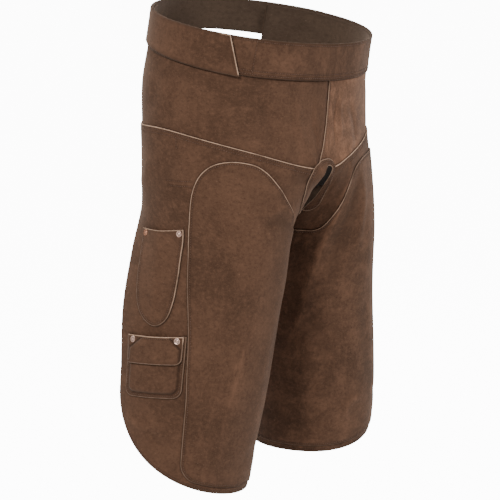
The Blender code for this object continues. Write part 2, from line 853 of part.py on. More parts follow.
def thigh_strap_points(side):
    """Both edges of the strap, from the outer panel round the back of the thigh to the inner panel."""
    outer_girth, outer_level = THIGH_STRAP_OUTER
    inner_girth, inner_level = THIGH_STRAP_INNER
    half = THIGH_STRAP_HEIGHT / 2
    sewn = LEG_LIFT - GAP - THIGH_STRAP_WALL
    outer_part = []
    for share in spaced(0.0, 1.0, 8):
        girth = outer_girth + (THIGH_STRAP_OUTER_END - outer_girth) * share
        level = outer_level + (THIGH_STRAP_REAR - outer_level) * share
        lift = sewn - THIGH_STRAP_SLACK * smooth(share * 1.4 - 0.2)
        outer_part.append([cloth_point(girth, level + up, lift) for up in (-half, half)])
    inner_part = []
    for share in spaced(1.0, 0.0, 4):
        girth = inner_girth + (THIGH_STRAP_INNER_END - inner_girth) * share
        lift = sewn - THIGH_STRAP_SLACK * smooth(share * 1.4 - 0.2)
        inner_part.append([cloth_point(girth, inner_level + up, lift) for up in (-half, half)])
    back = []
    for step in range(1, 14):
        t = step / 14
        pair = []
        for edge in range(2):
            start, end = outer_part[-1][edge], inner_part[0][edge]
            leave = (start - outer_part[-2][edge]).normalized()
            arrive = (inner_part[1][edge] - end).normalized()
            leave = (leave + THIGH_STRAP_LEAVES).normalized() * THIGH_STRAP_ROUND
            arrive = (arrive + THIGH_STRAP_ARRIVES).normalized() * THIGH_STRAP_ROUND
            pair.append(
                start * (1 + 2 * t) * (1 - t) ** 2
                + leave * t * (1 - t) ** 2
                + end * t * t * (3 - 2 * t)
                - arrive * t * t * (1 - t)
            )
        back.append(pair)
    path = outer_part + back + inner_part
    if side < 0:
        path = [[Vector((-p.x, p.y, p.z)) for p in pair] for pair in path]
    return path


def make_thigh_straps():
    for side, word in ((-1, "right"), (1, "left")):
        path = thigh_strap_points(side)
        mesh = bmesh.new()
        rings = []
        last = len(path) - 1
        for index, (low, high) in enumerate(path):
            before, after = path[max(index - 1, 0)], path[min(index + 1, last)]
            along = (after[0] + after[1]) - (before[0] + before[1])
            normal = along.cross(high - low).normalized() * (THIGH_STRAP_WALL * side)
            rings.append([mesh.verts.new(p) for p in (low, high, high + normal, low + normal)])
        for a, b in zip(rings, rings[1:]):
            for step in range(4):
                after = (step + 1) % 4
                mesh.faces.new((a[step], a[after], b[after], b[step]))
        mesh.faces.new(rings[0])
        mesh.faces.new(rings[-1][::-1])
        add_object(f"thigh_strap_{word}", mesh, "webbing")


for old in list(bpy.data.objects):
    bpy.data.objects.remove(old)
apron = bpy.data.objects.new("farrier_apron", None)
bpy.context.scene.collection.objects.link(apron)
make_yokes()
make_waistband()
make_waist_strap()
make_legs()
make_wear_patches()
make_crotch_patch()
make_knife_pocket()
make_tool_pocket()
make_rivets()
make_thigh_straps()
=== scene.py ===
"""Looks of the farrier apron: a split-leg apron of brown suede, in the hollow form that it has when worn.

Run as a script in Blender 4.5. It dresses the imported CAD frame: each cut piece becomes a fine shell on its
solid's form, with its creases, cut edges and sewing, and the stage gets its floor, lights and camera. The
wearer's right is -X and the front faces -Y.
"""

import math

import bmesh
import bpy
import numpy as np
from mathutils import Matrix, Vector
from mathutils.geometry import delaunay_2d_cdt


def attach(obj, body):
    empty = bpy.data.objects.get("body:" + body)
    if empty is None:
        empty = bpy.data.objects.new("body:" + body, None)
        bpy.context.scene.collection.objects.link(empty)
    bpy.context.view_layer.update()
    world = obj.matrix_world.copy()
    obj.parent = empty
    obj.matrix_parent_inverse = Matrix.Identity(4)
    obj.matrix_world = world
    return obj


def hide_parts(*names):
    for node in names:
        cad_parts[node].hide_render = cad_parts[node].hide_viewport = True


bl_info = {
    "name": "Farrier Apron",
    "version": (1, 0, 0),
    "blender": (4, 5, 0),
    "location": "View3D > Sidebar > Apron",
    "description": "Makes the suede pieces, sewing, rivets and stage of a farrier apron",
    "category": "Object",
}

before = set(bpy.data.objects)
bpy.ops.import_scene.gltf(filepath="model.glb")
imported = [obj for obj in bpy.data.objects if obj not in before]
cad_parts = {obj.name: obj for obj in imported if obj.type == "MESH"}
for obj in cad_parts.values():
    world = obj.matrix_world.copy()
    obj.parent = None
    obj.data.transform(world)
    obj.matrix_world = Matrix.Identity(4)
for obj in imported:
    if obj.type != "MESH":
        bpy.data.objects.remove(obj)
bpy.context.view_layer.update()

# Waist, crotch and seams, as in the part's source
WAIST_HALF_DEPTH = 0.145
WAIST_TILT = math.radians(13.2)
BAND_HEIGHT = 0.055
BAND_HALF = BAND_HEIGHT / 2 * math.cos(WAIST_TILT)
LEVEL_FLAT = -0.190
LOWEST = -0.690
CROTCH = -0.187
LEGS_APART = -0.318
INNER_EDGE = 0.002
YOKE_OVER_SLOT = 0.008
SEAM_RISE = 0.061
SEAM_FLAT_TO = {-1: 0.16, 1: 0.0}
SEAM_FULL_AT = {-1: 0.84, 1: 0.78}
SEAM_LAP = 0.012
SEAM_LAP_FULL_AT = {-1: 0.24, 1: 0.07}
FRONT_LAP = 0.150
FRONT_LAP_START, FRONT_LAP_BEND = -0.050, 1.7
FRONT_LAP_CORNER = 0.012
UNDER_LAP = 0.075
UNDER_LAP_START, UNDER_LAP_RAMP = 0.055, 0.045
YOKE_BELOW_BAND_TOP = 0.004
HEM = {-1: -0.678, 1: -0.658}
HEM_ROUND_START = 0.30
HEM_ROUND_HEIGHT = 0.160
PATCH_ABOVE_HEM = 0.011
GIRTH_LENGTH = 0.41

# Cloth layers
SUEDE = 0.0018
BAND_WALL = 0.0020
GAP = 0.0003
LAYER = SUEDE + GAP
LEG_LIFT = LAYER
PATCH_LIFT = 2 * LAYER
BAND_LIFT = LAYER
STRAP_LIFT = BAND_LIFT + BAND_WALL + GAP

# The wearer's general form: the same rows as in the part's source
FORM_COLUMNS = (
    "height", "hip_rx", "hip_ry", "hip_y", "leg_x", "leg_y", "leg_rx", "leg_ry", "inward", "outward", "flare",
)
FORM = (
    (-0.700, 0.1920, 0.1470, 0.004, 0.142, 0.032, 0.091, 0.095, 126, 118, 0.12),
    (-0.600, 0.1920, 0.1470, 0.004, 0.135, 0.016, 0.092, 0.098, 121, 120, 0.18),
    (-0.500, 0.1920, 0.1470, 0.004, 0.121, 0.006, 0.092, 0.102, 114, 122, 0.28),
    (-0.400, 0.1920, 0.1470, 0.004, 0.105, 0.000, 0.091, 0.105, 106, 125, 0.38),
    (-0.300, 0.1920, 0.1470, 0.004, 0.096, -0.007, 0.088, 0.111, 98, 132, 0.29),
    (-0.240, 0.1950, 0.1510, 0.009, 0.096, -0.008, 0.087, 0.111, 94, 142, 0.16),
    (-0.190, 0.1920, 0.1500, 0.008, 0.094, -0.008, 0.086, 0.112, 92, 145, 0.08),
    (-0.120, 0.1880, 0.1490, 0.013, 0.094, -0.008, 0.086, 0.112, 92, 145, 0.00),
    (-0.060, 0.1855, 0.1505, 0.012, 0.094, -0.008, 0.086, 0.112, 92, 145, 0.00),
    (0.000, 0.1820, 0.1490, 0.000, 0.094, -0.008, 0.086, 0.112, 92, 145, 0.00),
    (0.080, 0.1820, 0.1490, -0.019, 0.094, -0.008, 0.086, 0.112, 92, 145, 0.00),
)
AROUND_COLUMNS = ("girth", "degrees")
AROUND = (
    (0.000, 0.0), (0.100, 4.5), (0.227, 12.0), (0.432, 35.0), (0.636, 68.0), (0.841, 103.0),
    (1.000, 140.0), (1.200, 180.0),
)
BACK = AROUND[-1][0]

# The tables of outlines give a place in each row
PLACE_COLUMNS = ("girth", "level")

# Top edge of each wear patch, from the leg's inner edge over the thigh to its outer side. The left one
# climbs more steeply, and both come down alike
PATCH_OUTER = (
    (0.530, -0.172), (0.585, -0.177), (0.625, -0.191), (0.655, -0.211), (0.685, -0.241),
    (0.707, -0.260), (0.730, -0.278), (0.748, -0.298), (0.756, -0.325), (0.756, -0.360),
    (0.745, -0.420), (0.737, -0.480), (0.730, -0.520),
)
PATCH_TOP = {
    -1: (
        (0.002, -0.300), (0.030, -0.294), (0.070, -0.290), (0.130, -0.290), (0.210, -0.289),
        (0.260, -0.276), (0.300, -0.250), (0.345, -0.227), (0.395, -0.203), (0.430, -0.188),
        (0.470, -0.177),
        *PATCH_OUTER,
    ),
    1: (
        (0.002, -0.300), (0.030, -0.294), (0.070, -0.290), (0.130, -0.289), (0.195, -0.289),
        (0.230, -0.282), (0.246, -0.265), (0.255, -0.244), (0.258, -0.224), (0.264, -0.206),
        (0.290, -0.191), (0.360, -0.180), (0.450, -0.174),
        *PATCH_OUTER,
    ),
}
PATCH_SIDE_GIRTH = 0.721
PATCH_CORNER = 0.022

# The crotch slot, which hangs open towards the wearer's right: its edge from the left end over the top to
# the right end, and the edges of the two leg panels beside it, from the inner edge upwards
SLOT = (
    (0.092, -0.252), (0.094, -0.240), (0.087, -0.228), (0.070, -0.217), (0.049, -0.207),
    (0.032, -0.198), (0.014, -0.190), (-0.012, -0.1852), (-0.060, -0.1840), (-0.090, -0.188),
    (-0.112, -0.196), (-0.120, -0.209), (-0.117, -0.224), (-0.105, -0.243), (-0.098, -0.256),
)
LEG_BESIDE_SLOT = {
    -1: (
        (0.002, -0.298), (0.055, -0.282), (0.108, -0.258), (0.114, -0.243), (0.126, -0.224),
        (0.129, -0.209), (0.124, -0.197), (0.115, -0.190),
    ),
    1: (
        (0.002, -0.298), (0.045, -0.282), (0.092, -0.264), (0.102, -0.251), (0.104, -0.239),
        (0.097, -0.2265), (0.080, -0.2155), (0.058, -0.205), (0.042, -0.1965), (0.030, -0.190),
    ),
}

# Outline of the horseshoe round the slot, from its right end over the top to its left end
HORSESHOE = (
    (-0.115, -0.262), (-0.180, -0.257), (-0.222, -0.243), (-0.234, -0.225), (-0.231, -0.207),
    (-0.225, -0.193), (-0.200, -0.182), (-0.150, -0.1755), (-0.085, -0.1730), (-0.030, -0.1740),
    (0.015, -0.1785), (0.045, -0.186), (0.080, -0.199), (0.114, -0.212), (0.135, -0.227),
    (0.151, -0.240), (0.150, -0.251), (0.125, -0.257), (0.095, -0.256),
)

# Knife pocket, a tongue on the right thigh, from its front top corner round the bottom to its rear one
KNIFE_POCKET = (
    (0.742, -0.272), (0.776, -0.308), (0.790, -0.345), (0.803, -0.380), (0.824, -0.405),
    (0.862, -0.416), (0.902, -0.408), (0.930, -0.388), (0.942, -0.355), (0.941, -0.320),
    (0.932, -0.280),
)
KNIFE_BULGE = 0.0026
KNIFE_FLAT_EDGE, KNIFE_RAMP = 0.006, 0.030
KNIFE_MOUTH = 0.0015

TOOL_FRONT, TOOL_REAR = 0.749, 0.961
TOOL_TOP, TOOL_BOTTOM = -0.427, -0.517
TOOL_DROP = -0.0080
TOOL_CORNER = 0.012
TOOL_FLANGE = 0.0065
TOOL_RAMP = 0.0022
TOOL_RAISE = 0.0036
TOOL_MOUTH = 0.012
TOOL_CLIP = 0.0185
TOOL_FACE_OVER = 0.004
FLAP_INSET = 0.0035
FLAP_HEIGHT = 0.040
FLAP_CORNER = 0.008

BAND_ENDS = (-1.00, 0.97)
STRAP_START = 0.86 - 2 * BACK
STRAP_END_TOP, STRAP_END_LOW = -0.560, -0.516
STRAP_TUCK = 0.004
STRAP_BELOW = 0.002

THIGH_STRAP_HEIGHT = 0.030
THIGH_STRAP_WALL = 0.0015
THIGH_STRAP_OUTER = (0.66, -0.206)
THIGH_STRAP_OUTER_END = 0.975
THIGH_STRAP_REAR = -0.244
THIGH_STRAP_INNER = (0.13, -0.330)
THIGH_STRAP_INNER_END = 0.02
THIGH_STRAP_SLACK = 0.003
THIGH_STRAP_ROUND = 0.24
THIGH_STRAP_LEAVES = (-0.35, 0.0, 0.0)
THIGH_STRAP_ARRIVES = (-0.20, 0.0, 0.0)

# Rivets on the right thigh
KNIFE_RIVETS = ((0.763, -0.2785), (0.913, -0.2855))
TOOL_RIVET_GIRTHS = (0.778, 0.933)
RIVET_BELOW_TOP = 0.0060
RIVET_NODES = ("knife_rivet_front", "knife_rivet_rear", "tool_rivet_front", "tool_rivet_rear")
RIVET_TONES = (0.25, 1.0, 0.2, 0.3)
RIVET_SILVERY = (0.88, 0.66, 0.56)
# Painted shade in each cap's hollow dish
RIVET_DISH_SHADE = (0.17, 0.10, 0.08)

# Soft creases, given one by one. Positive depths stand out and negative ones lie in.
CREASE_COLUMNS = ("from_girth", "from_level", "to_girth", "to_level", "depth_mm", "width_mm")
CREASES = (
    (-0.08, -0.200, -0.24, -0.165, 2.3, 9),
    (-0.10, -0.225, -0.30, -0.190, -2.5, 9),
    (-0.26, -0.252, -0.42, -0.243, 2.5, 8),
    (-0.28, -0.270, -0.46, -0.262, -2.2, 8),
    (-0.35, -0.214, -0.50, -0.208, 1.2, 8),
    (-0.44, -0.284, -0.56, -0.280, 1.1, 7),
    (-0.50, -0.330, -0.62, -0.338, -1.0, 9),
    (-0.30, -0.060, -0.25, -0.145, 1.9, 10),
    (-0.20, -0.070, -0.17, -0.150, -1.4, 9),
    (-0.45, -0.050, -0.40, -0.150, -1.6, 12),
    (-0.62, -0.050, -0.68, -0.125, 1.2, 14),
    (-0.80, -0.060, -0.86, -0.120, -1.1, 12),
    (-0.84, -0.190, -0.93, -0.215, 1.8, 10),
    (-0.74, -0.172, -0.86, -0.240, -1.1, 15),
    (-0.62, -0.240, -0.63, -0.400, -0.8, 14),
    (-0.12, -0.330, -0.20, -0.560, 1.8, 17),
    (-0.30, -0.380, -0.36, -0.520, -1.8, 17),
    (-0.52, -0.420, -0.60, -0.580, 1.7, 17),
    (-0.80, -0.565, -0.96, -0.560, 1.7, 8),
    (-0.76, -0.590, -0.86, -0.575, -1.4, 9),
    (-0.24, -0.610, -0.56, -0.628, -1.0, 14),
    (0.09, -0.196, 0.30, -0.150, 1.6, 8),
    (0.262, -0.200, 0.248, -0.345, 3.0, 8),
    (0.325, -0.215, 0.305, -0.345, -2.6, 10),
    (0.248, -0.350, 0.205, -0.445, 2.6, 10),
    (0.10, -0.290, 0.06, -0.400, -1.8, 13),
    (0.185, -0.250, 0.170, -0.400, -2.0, 10),
    (0.365, -0.215, 0.425, -0.320, 2.4, 8),
    (0.36, -0.240, 0.33, -0.370, -1.8, 10),
    (0.25, -0.400, 0.34, -0.520, -1.6, 13),
    (0.22, -0.450, 0.26, -0.600, 1.7, 14),
    (0.485, -0.562, 0.42, -0.592, 2.0, 9),
    (0.50, -0.380, 0.54, -0.560, -1.5, 16),
    (0.60, -0.230, 0.68, -0.430, 1.5, 15),
    (0.78, -0.180, 0.90, -0.250, -1.7, 12),
    (0.82, -0.330, 0.87, -0.520, -1.5, 18),
    (0.12, -0.060, 0.09, -0.150, -1.7, 8),
    (0.20, -0.055, 0.17, -0.135, 1.5, 9),
    (0.29, -0.070, 0.33, -0.150, -1.6, 9),
    (0.55, -0.050, 0.50, -0.130, 1.3, 14),
    (0.76, -0.060, 0.70, -0.130, -1.2, 13),
    (0.62, -0.570, 0.88, -0.545, -1.2, 12),
)

MM = 0.001
CREASE_SWAY = 0.004
CREASE_PAST_END = 0.25
SLOW_WAVE = 0.0007
FLAT_BELOW_BAND, DRAPE_RAMP = 0.006, 0.035
FOLD_FULL = 0.0026

# Rows of sewing, by their distance from a cut edge or a seam, and what they do to the cloth
ROW_NEAR = 0.0035
ROW_FAR = 0.0085
ROW_STEP = 0.003
PATCH_ROWS = (0.0030, 0.0065)
HEM_ROW = 0.0045
TOOL_ROW = 0.0032
FLAP_ROW = 0.003
STITCH_SUNK = 0.00012
SEWN_WIDTH, SEWN_DEPTH, SEWN_SHADE = 0.0016, 0.00035, 0.35
PUCKER, PUCKER_REACH = 0.00022, 0.009

# The cloth's mesh: close rows along cut edges and along the guides, which are what covers or sews it
EDGE_ROWS = (0.0010, 0.0026)
EDGE_CLEAR = 0.0006
GUIDE_SPACING = 0.0025
GUIDE_ROWS = (-0.0024, -0.0010, 0.0003, 0.0016, 0.0030)
GUIDE_CLEAR = 0.0032
SHADE_WIDTH = 0.0016
ROUNDING, ROUNDING_REACH = 0.0007, 0.0012
EDGE_BULGE = 0.0003
SMALL_PIECE_SPACING = 0.0022

# Small standing parts of the pieces
TOOL_SOFT_RAMP = TOOL_RAMP * 1.6
FLAP_CURL, FLAP_CURL_REACH = 0.0022, 0.009
STRAP_STANDS, STRAP_PRESSED = 0.0016, 0.022


def smooth(share):
    """An S-shaped rise from 0 to 1."""
    share = np.clip(share, 0.0, 1.0)
    return share * share * (3 - 2 * share)


def read(rows, columns, name, at):
    """The named column of a table at values of its first column, along a smooth curve through the rows."""
    keys = np.array([row[0] for row in rows])
    values = np.array([row[columns.index(name)] for row in rows], dtype=float)
    slopes = np.empty(len(keys))
    slopes[1:-1] = (values[2:] - values[:-2]) / (keys[2:] - keys[:-2])
    slopes[0] = (values[1] - values[0]) / (keys[1] - keys[0])
    slopes[-1] = (values[-1] - values[-2]) / (keys[-1] - keys[-2])
    at = np.clip(at, keys[0], keys[-1])
    low = np.clip(np.searchsorted(keys, at, side="right") - 1, 0, len(keys) - 2)
    width = keys[low + 1] - keys[low]
    share = (at - keys[low]) / width
    start = values[low] * (1 + 2 * share) * (1 - share) ** 2 + slopes[low] * width * share * (1 - share) ** 2
    end = values[low + 1] * share * share * (3 - 2 * share)
    return start + end - slopes[low + 1] * width * share * share * (1 - share)


def around(girth):
    return np.radians(read(AROUND, AROUND_COLUMNS, "degrees", girth))


def height_at(girth, level):
    """Height of a level: tilted with the waist near the band, flat from the crotch down."""
    rise = -WAIST_HALF_DEPTH * np.cos(around(girth)) * math.sin(WAIST_TILT)
    return level + rise * smooth((level - LEVEL_FLAT) / (-BAND_HALF - LEVEL_FLAT))


def level_at(girth, height):
    """Level of a height, by halving."""
    low, high = LOWEST, BAND_HALF + 0.01
    for _ in range(30):
        middle = (low + high) / 2
        if height_at(girth, middle) < height:
            low = middle
        else:
            high = middle
    return (low + high) / 2


def form_point(girth, level):
    """Points of the wearer's general form on the left side, one row each."""
    height = height_at(girth, level)
    form = {name: read(FORM, FORM_COLUMNS, name, height) for name in FORM_COLUMNS[1:]}
    hip = around(girth)
    hip_x = form["hip_rx"] * np.sin(hip)
    hip_y = form["hip_y"] - form["hip_ry"] * np.cos(hip)
    degrees = -form["inward"] + np.minimum(girth, 1.0) * (form["inward"] + form["outward"])
    stand = 1 + form["flare"] * np.maximum(0.0, (degrees - 35) / (form["outward"] - 35)) ** 2
    leg = np.radians(degrees)
    leg_x = form["leg_x"] + form["leg_rx"] * stand * np.sin(leg)
    leg_y = form["leg_y"] - form["leg_ry"] * stand * np.cos(leg)
    share = smooth((CROTCH - height) / (CROTCH - LEGS_APART)) ** 0.7
    return np.stack((hip_x + (leg_x - hip_x) * share, hip_y + (leg_y - hip_y) * share, height), axis=-1)


def drape(girth, level):
    """How far the creases move the cloth out, the same for every layer at one place."""
    x = girth * GIRTH_LENGTH
    moved = np.zeros_like(x)
    for row in CREASES:
        crease = dict(zip(CREASE_COLUMNS, row))
        start = np.array((crease["from_girth"] * GIRTH_LENGTH, crease["from_level"]))
        along = np.array((crease["to_girth"] * GIRTH_LENGTH, crease["to_level"])) - start
        length = np.hypot(*along)
        away_x, away_y = x - start[0], level - start[1]
        share = (away_x * along[0] + away_y * along[1]) / length**2
        off = (away_x * along[1] - away_y * along[0]) / length
        off = off + CREASE_SWAY * np.sin(share * 5.3 + crease["from_girth"] * 17)
        end_fade = smooth((share + CREASE_PAST_END) / 0.5) * smooth((1 + CREASE_PAST_END - share) / 0.5)
        moved += crease["depth_mm"] * MM * np.exp(-((off / (crease["width_mm"] * MM)) ** 2)) * end_fade
    moved += SLOW_WAVE * np.sin(x * 31 + level * 17 + 1.3) * np.sin(level * 23 - x * 11 + 0.4)
    return moved * smooth((-BAND_HALF - FLAT_BELOW_BAND - level) / DRAPE_RAMP)


def surface(girth, level, lift):
    """Points of the cloth, and its outward normals. Girths past the back come round on the other side."""
    girth = np.asarray(girth, dtype=float)
    level = np.asarray(level, dtype=float)
    turned = np.where(girth < -BACK, girth + 2 * BACK, girth)
    side = np.where(turned < 0, -1.0, 1.0)
    out = np.minimum(np.abs(turned), BACK)
    step = 0.004
    across = form_point(np.minimum(out + step, BACK), level) - form_point(np.maximum(out - step, 0.0), level)
    along = form_point(out, level + step) - form_point(out, level - step)
    normal = np.cross(across, along)
    above_crotch = height_at(out, level) > CROTCH
    normal[..., 0] *= np.where(above_crotch, np.minimum(out / 0.02, 1.0), 1.0)
    normal /= np.linalg.norm(normal, axis=-1, keepdims=True)
    point = form_point(out, level) + normal * np.asarray(lift)[..., None]
    point[..., 0] *= side
    normal[..., 0] *= side
    return point, normal


def spaced(start, end, count):
    return [start + (end - start) * index / count for index in range(count + 1)]


def curve_through(rows, pieces):
    """Points along a smooth curve through a table's places, with so many pieces between two of them."""
    girth, level = PLACE_COLUMNS.index("girth"), PLACE_COLUMNS.index("level")
    points = [(row[girth], row[level]) for row in rows]
    found = []
    last = len(points) - 1
    for index in range(last):
        before = points[max(index - 1, 0)]
        start, end = points[index], points[index + 1]
        after = points[min(index + 2, last)]
        for step in range(pieces):
            t = step / pieces
            found.append(
                tuple(
                    0.5
                    * (
                        2 * b
                        + (c - a) * t
                        + (2 * a - 5 * b + 4 * c - d) * t * t
                        + (3 * b - a - 3 * c + d) * t**3
                    )
                    for a, b, c, d in zip(before, start, end, after)
                )
            )
    found.append(points[last])
    return found


def mirrored(outline, side):
    return outline if side > 0 else [(-girth, level) for girth, level in outline]


def seam_level(side, girth):
    """Where the leg panel's top edge lies on the yoke."""
    share = (abs(girth) - SEAM_FLAT_TO[side]) / (SEAM_FULL_AT[side] - SEAM_FLAT_TO[side])
    return level_at(abs(girth), CROTCH + SEAM_RISE * float(smooth(share)))


def yoke_level(side, girth):
    """The yoke's hidden lower edge, which clears the top of the crotch slot."""
    drop = (SEAM_LAP + YOKE_OVER_SLOT) * float(smooth(abs(girth) / SEAM_LAP_FULL_AT[side]))
    return seam_level(side, girth) + YOKE_OVER_SLOT - drop


def hem_level(side, girth):
    """The hem, level round the inner half and rising in a quarter oval to the rear edge."""
    across = max(0.0, (abs(girth) - HEM_ROUND_START) / (1 - HEM_ROUND_START))
    return HEM[side] + HEM_ROUND_HEIGHT * (1 - math.sqrt(max(0.0, 1 - across * across)))


def flat_points(outline):
    """An outline in metres on the pattern: girth times its length, and level."""
    return np.array([(girth * GIRTH_LENGTH, level) for girth, level in outline])


def resampled(line, spacing, closed):
    """A line with points no further apart than the spacing, its corners kept."""
    found = []
    ends = np.roll(line, -1, axis=0) if closed else line[1:]
    for start, end in zip(line, ends):
        count = max(1, math.ceil(np.hypot(*(end - start)) / spacing))
        found.extend(start + (end - start) * step / count for step in range(count))
    if not closed:
        found.append(line[-1])
    return np.array(found)


def distance_to(points, line, closed=True):
    """How far each point of the pattern is from a line."""
    ends = np.roll(line, -1, axis=0) if closed else line[1:]
    starts = line if closed else line[:-1]
    best = np.full(len(points), 1.0)
    for start, end in zip(starts, ends):
        along = end - start
        share = np.clip(((points - start) @ along) / max(along @ along, 1e-12), 0.0, 1.0)
        gap = points - start - share[:, None] * along
        best = np.minimum(best, np.hypot(gap[:, 0], gap[:, 1]))
    return best


def inside(points, outline):
    """Whether each point of the pattern is inside an outline."""
    found = np.zeros(len(points), dtype=bool)
    for (xa, ya), (xb, yb) in zip(outline, np.roll(outline, -1, axis=0)):
        if ya == yb:
            continue
        spans = (ya > points[:, 1]) != (yb > points[:, 1])
        found ^= spans & (points[:, 0] < xa + (xb - xa) * (points[:, 1] - ya) / (yb - ya))
    return found


def inset(line, distance, closed=True):
    """A line moved sideways: to its left for a positive distance."""
    before = np.roll(line, 1, axis=0) if closed else np.vstack((line[:1], line[:-1]))
    after = np.roll(line, -1, axis=0) if closed else np.vstack((line[1:], line[-1:]))
    first = line - before
    second = after - line
    first /= np.maximum(np.hypot(first[:, 0], first[:, 1]), 1e-9)[:, None]
    second /= np.maximum(np.hypot(second[:, 0], second[:, 1]), 1e-9)[:, None]
    along = first + second
    along /= np.maximum(np.hypot(along[:, 0], along[:, 1]), 1e-9)[:, None]
    left = np.stack((-along[:, 1], along[:, 0]), axis=1)
    return line + left * distance


def counter_clockwise(outline):
    x, y = outline[:, 0], outline[:, 1]
    turned = np.sum(x * np.roll(y, -1) - np.roll(x, -1) * y)
    return outline if turned > 0 else outline[::-1]


def yoke_outline(side):
    top = BAND_HALF - YOKE_BELOW_BAND_TOP
    levels = spaced(top, yoke_level(1, 0.0), 36)[:-4]
    bottom = [(girth, yoke_level(side, girth)) for girth in spaced(0.0, 1.0, 60)]
    if side > 0:
        lap = [(float(front_edge(level)), level) for level in levels]
        lap.append((-FRONT_LAP, yoke_level(-1, FRONT_LAP) + FRONT_LAP_CORNER))
        return lap + bottom + [(1.0, top)]
    under = [(float(front_edge(level)) + UNDER_LAP, level) for level in levels]
    return under + mirrored(bottom[2:], -1) + [(-1.0, top)]


def front_edge(level):
    """Girth of the left yoke's front edge, which bends over to the wearer's right as it goes down."""
    share = np.clip((FRONT_LAP_START - level) / (FRONT_LAP_START - CROTCH), 0.0, 1.0)
    return -FRONT_LAP * share**FRONT_LAP_BEND


def leg_outline(side):
    beside_slot = curve_through(LEG_BESIDE_SLOT[side], 6)
    seam = [(girth, seam_level(side, girth)) for girth in spaced(beside_slot[-1][0], 1.0, 60)]
    turns = [math.sin(math.radians(90 * step / 36)) for step in range(36, -1, -1)]
    corner = [HEM_ROUND_START + (1 - HEM_ROUND_START) * turn for turn in turns]
    hem = [(girth, hem_level(side, girth)) for girth in corner] + [(INNER_EDGE, HEM[side])]
    return mirrored(seam + hem + beside_slot, side)


def seam_line(side):
    return mirrored([(girth, seam_level(side, girth)) for girth in spaced(0.03, 0.99, 80)], side)


def leg_covers(side):
    """Edges of what lies on a leg panel."""
    lines = [patch_outline(side), curve_through(HORSESHOE, 4)]
    if side < 0:
        lines += [knife_outline(), closed_line(tool_outline(0.0, TOOL_BOTTOM, TOOL_CORNER, TOOL_MOUTH))]
    return lines


def closed_line(outline):
    return [*outline, outline[0]]


def patch_outline(side):
    top = curve_through(PATCH_TOP[side], 8)
    radius = PATCH_CORNER / GIRTH_LENGTH
    low = []
    for step in range(13):
        angle = math.radians(90 * step / 12)
        girth = PATCH_SIDE_GIRTH - radius * (1 - math.cos(angle))
        floor = hem_level(side, girth) + PATCH_ABOVE_HEM
        low.append((girth, floor + PATCH_CORNER * (1 - math.sin(angle))))
    bottom = spaced(low[-1][0], INNER_EDGE, 24)[1:]
    return mirrored(top + low + [(g, hem_level(side, g) + PATCH_ABOVE_HEM) for g in bottom], side)


def crotch_outline():
    return curve_through(HORSESHOE, 8) + curve_through(SLOT, 8)


def band_outline():
    start, end = BAND_ENDS
    return [(start, -BAND_HALF), (end, -BAND_HALF), (end, BAND_HALF), (start, BAND_HALF)]


def strap_outline():
    low = -BAND_HALF - STRAP_BELOW
    tuck = -BAND_HALF + STRAP_TUCK
    outline = [(STRAP_START, -BAND_HALF), (-1.25, tuck), (-0.92, tuck), (-0.72, -BAND_HALF + 0.001)]
    return outline + [(STRAP_END_LOW, low), (STRAP_END_TOP, BAND_HALF), (STRAP_START, BAND_HALF)]


def knife_outline():
    return mirrored(curve_through(KNIFE_POCKET, 8), -1)


def tool_level(girth, level):
    """A level on the tool pocket, which sits a little lower towards the rear."""
    share = (abs(girth) - TOOL_FRONT) / (TOOL_REAR - TOOL_FRONT)
    return level + TOOL_DROP * share


def tool_outline(edge, bottom, corner, mouth=0.0):
    """A pocket piece with two round lower corners, and a scooped top if mouth is given."""
    front, rear = TOOL_FRONT + edge / GIRTH_LENGTH, TOOL_REAR - edge / GIRTH_LENGTH
    radius = corner / GIRTH_LENGTH
    points = []
    for step in range(13):
        angle = math.radians(90 * step / 12)
        points.append((front + radius * (1 - math.cos(angle)), bottom + corner * (1 - math.sin(angle))))
    for step in range(13):
        angle = math.radians(90 * step / 12)
        points.append((rear - radius * (1 - math.sin(angle)), bottom + corner * (1 - math.cos(angle))))
    for share in spaced(1.0, 0.0, 24):
        dip = mouth * float(smooth(math.sin(math.pi * share) * 1.6 - 0.5))
        points.append((front + (rear - front) * share, TOOL_TOP - dip))
    return [(-girth, tool_level(girth, level)) for girth, level in points]


def tool_face():
    """Where the pocket's raised front begins, clear of the riveted upper corners."""
    low = tool_outline(TOOL_FLANGE, TOOL_BOTTOM + TOOL_FLANGE, TOOL_CORNER * 0.8)[:26]
    front, rear = low[0][0], low[-1][0]
    across = (TOOL_CLIP + TOOL_FACE_OVER) / GIRTH_LENGTH
    high_front = (front, tool_level(front, TOOL_TOP - TOOL_CLIP))
    high_rear = (rear, tool_level(rear, TOOL_TOP - TOOL_CLIP))
    top_front = (front - across, tool_level(front, TOOL_TOP + TOOL_FACE_OVER))
    top_rear = (rear + across, tool_level(rear, TOOL_TOP + TOOL_FACE_OVER))
    return [top_front, high_front] + low + [high_rear, top_rear]


def tool_raise(girth, level):
    points = np.stack((girth * GIRTH_LENGTH, level), axis=-1)
    foot = flat_points(tool_face())
    away = distance_to(points, foot, closed=False) * inside(points, foot)
    return TOOL_RAISE * smooth(away / TOOL_SOFT_RAMP)


def under_lap(girth, level):
    """The right yoke dips under the left one's front edge."""
    return -LAYER * smooth((girth - front_edge(level) + UNDER_LAP_START) / UNDER_LAP_RAMP)


def knife_lift(girth, level):
    points = np.stack((girth * GIRTH_LENGTH, level), axis=-1)
    away = distance_to(points, flat_points(knife_outline()), closed=False)
    return PATCH_LIFT + KNIFE_BULGE * smooth((away - KNIFE_FLAT_EDGE) / KNIFE_RAMP)


def tool_lift(girth, level):
    return PATCH_LIFT + tool_raise(girth, level)


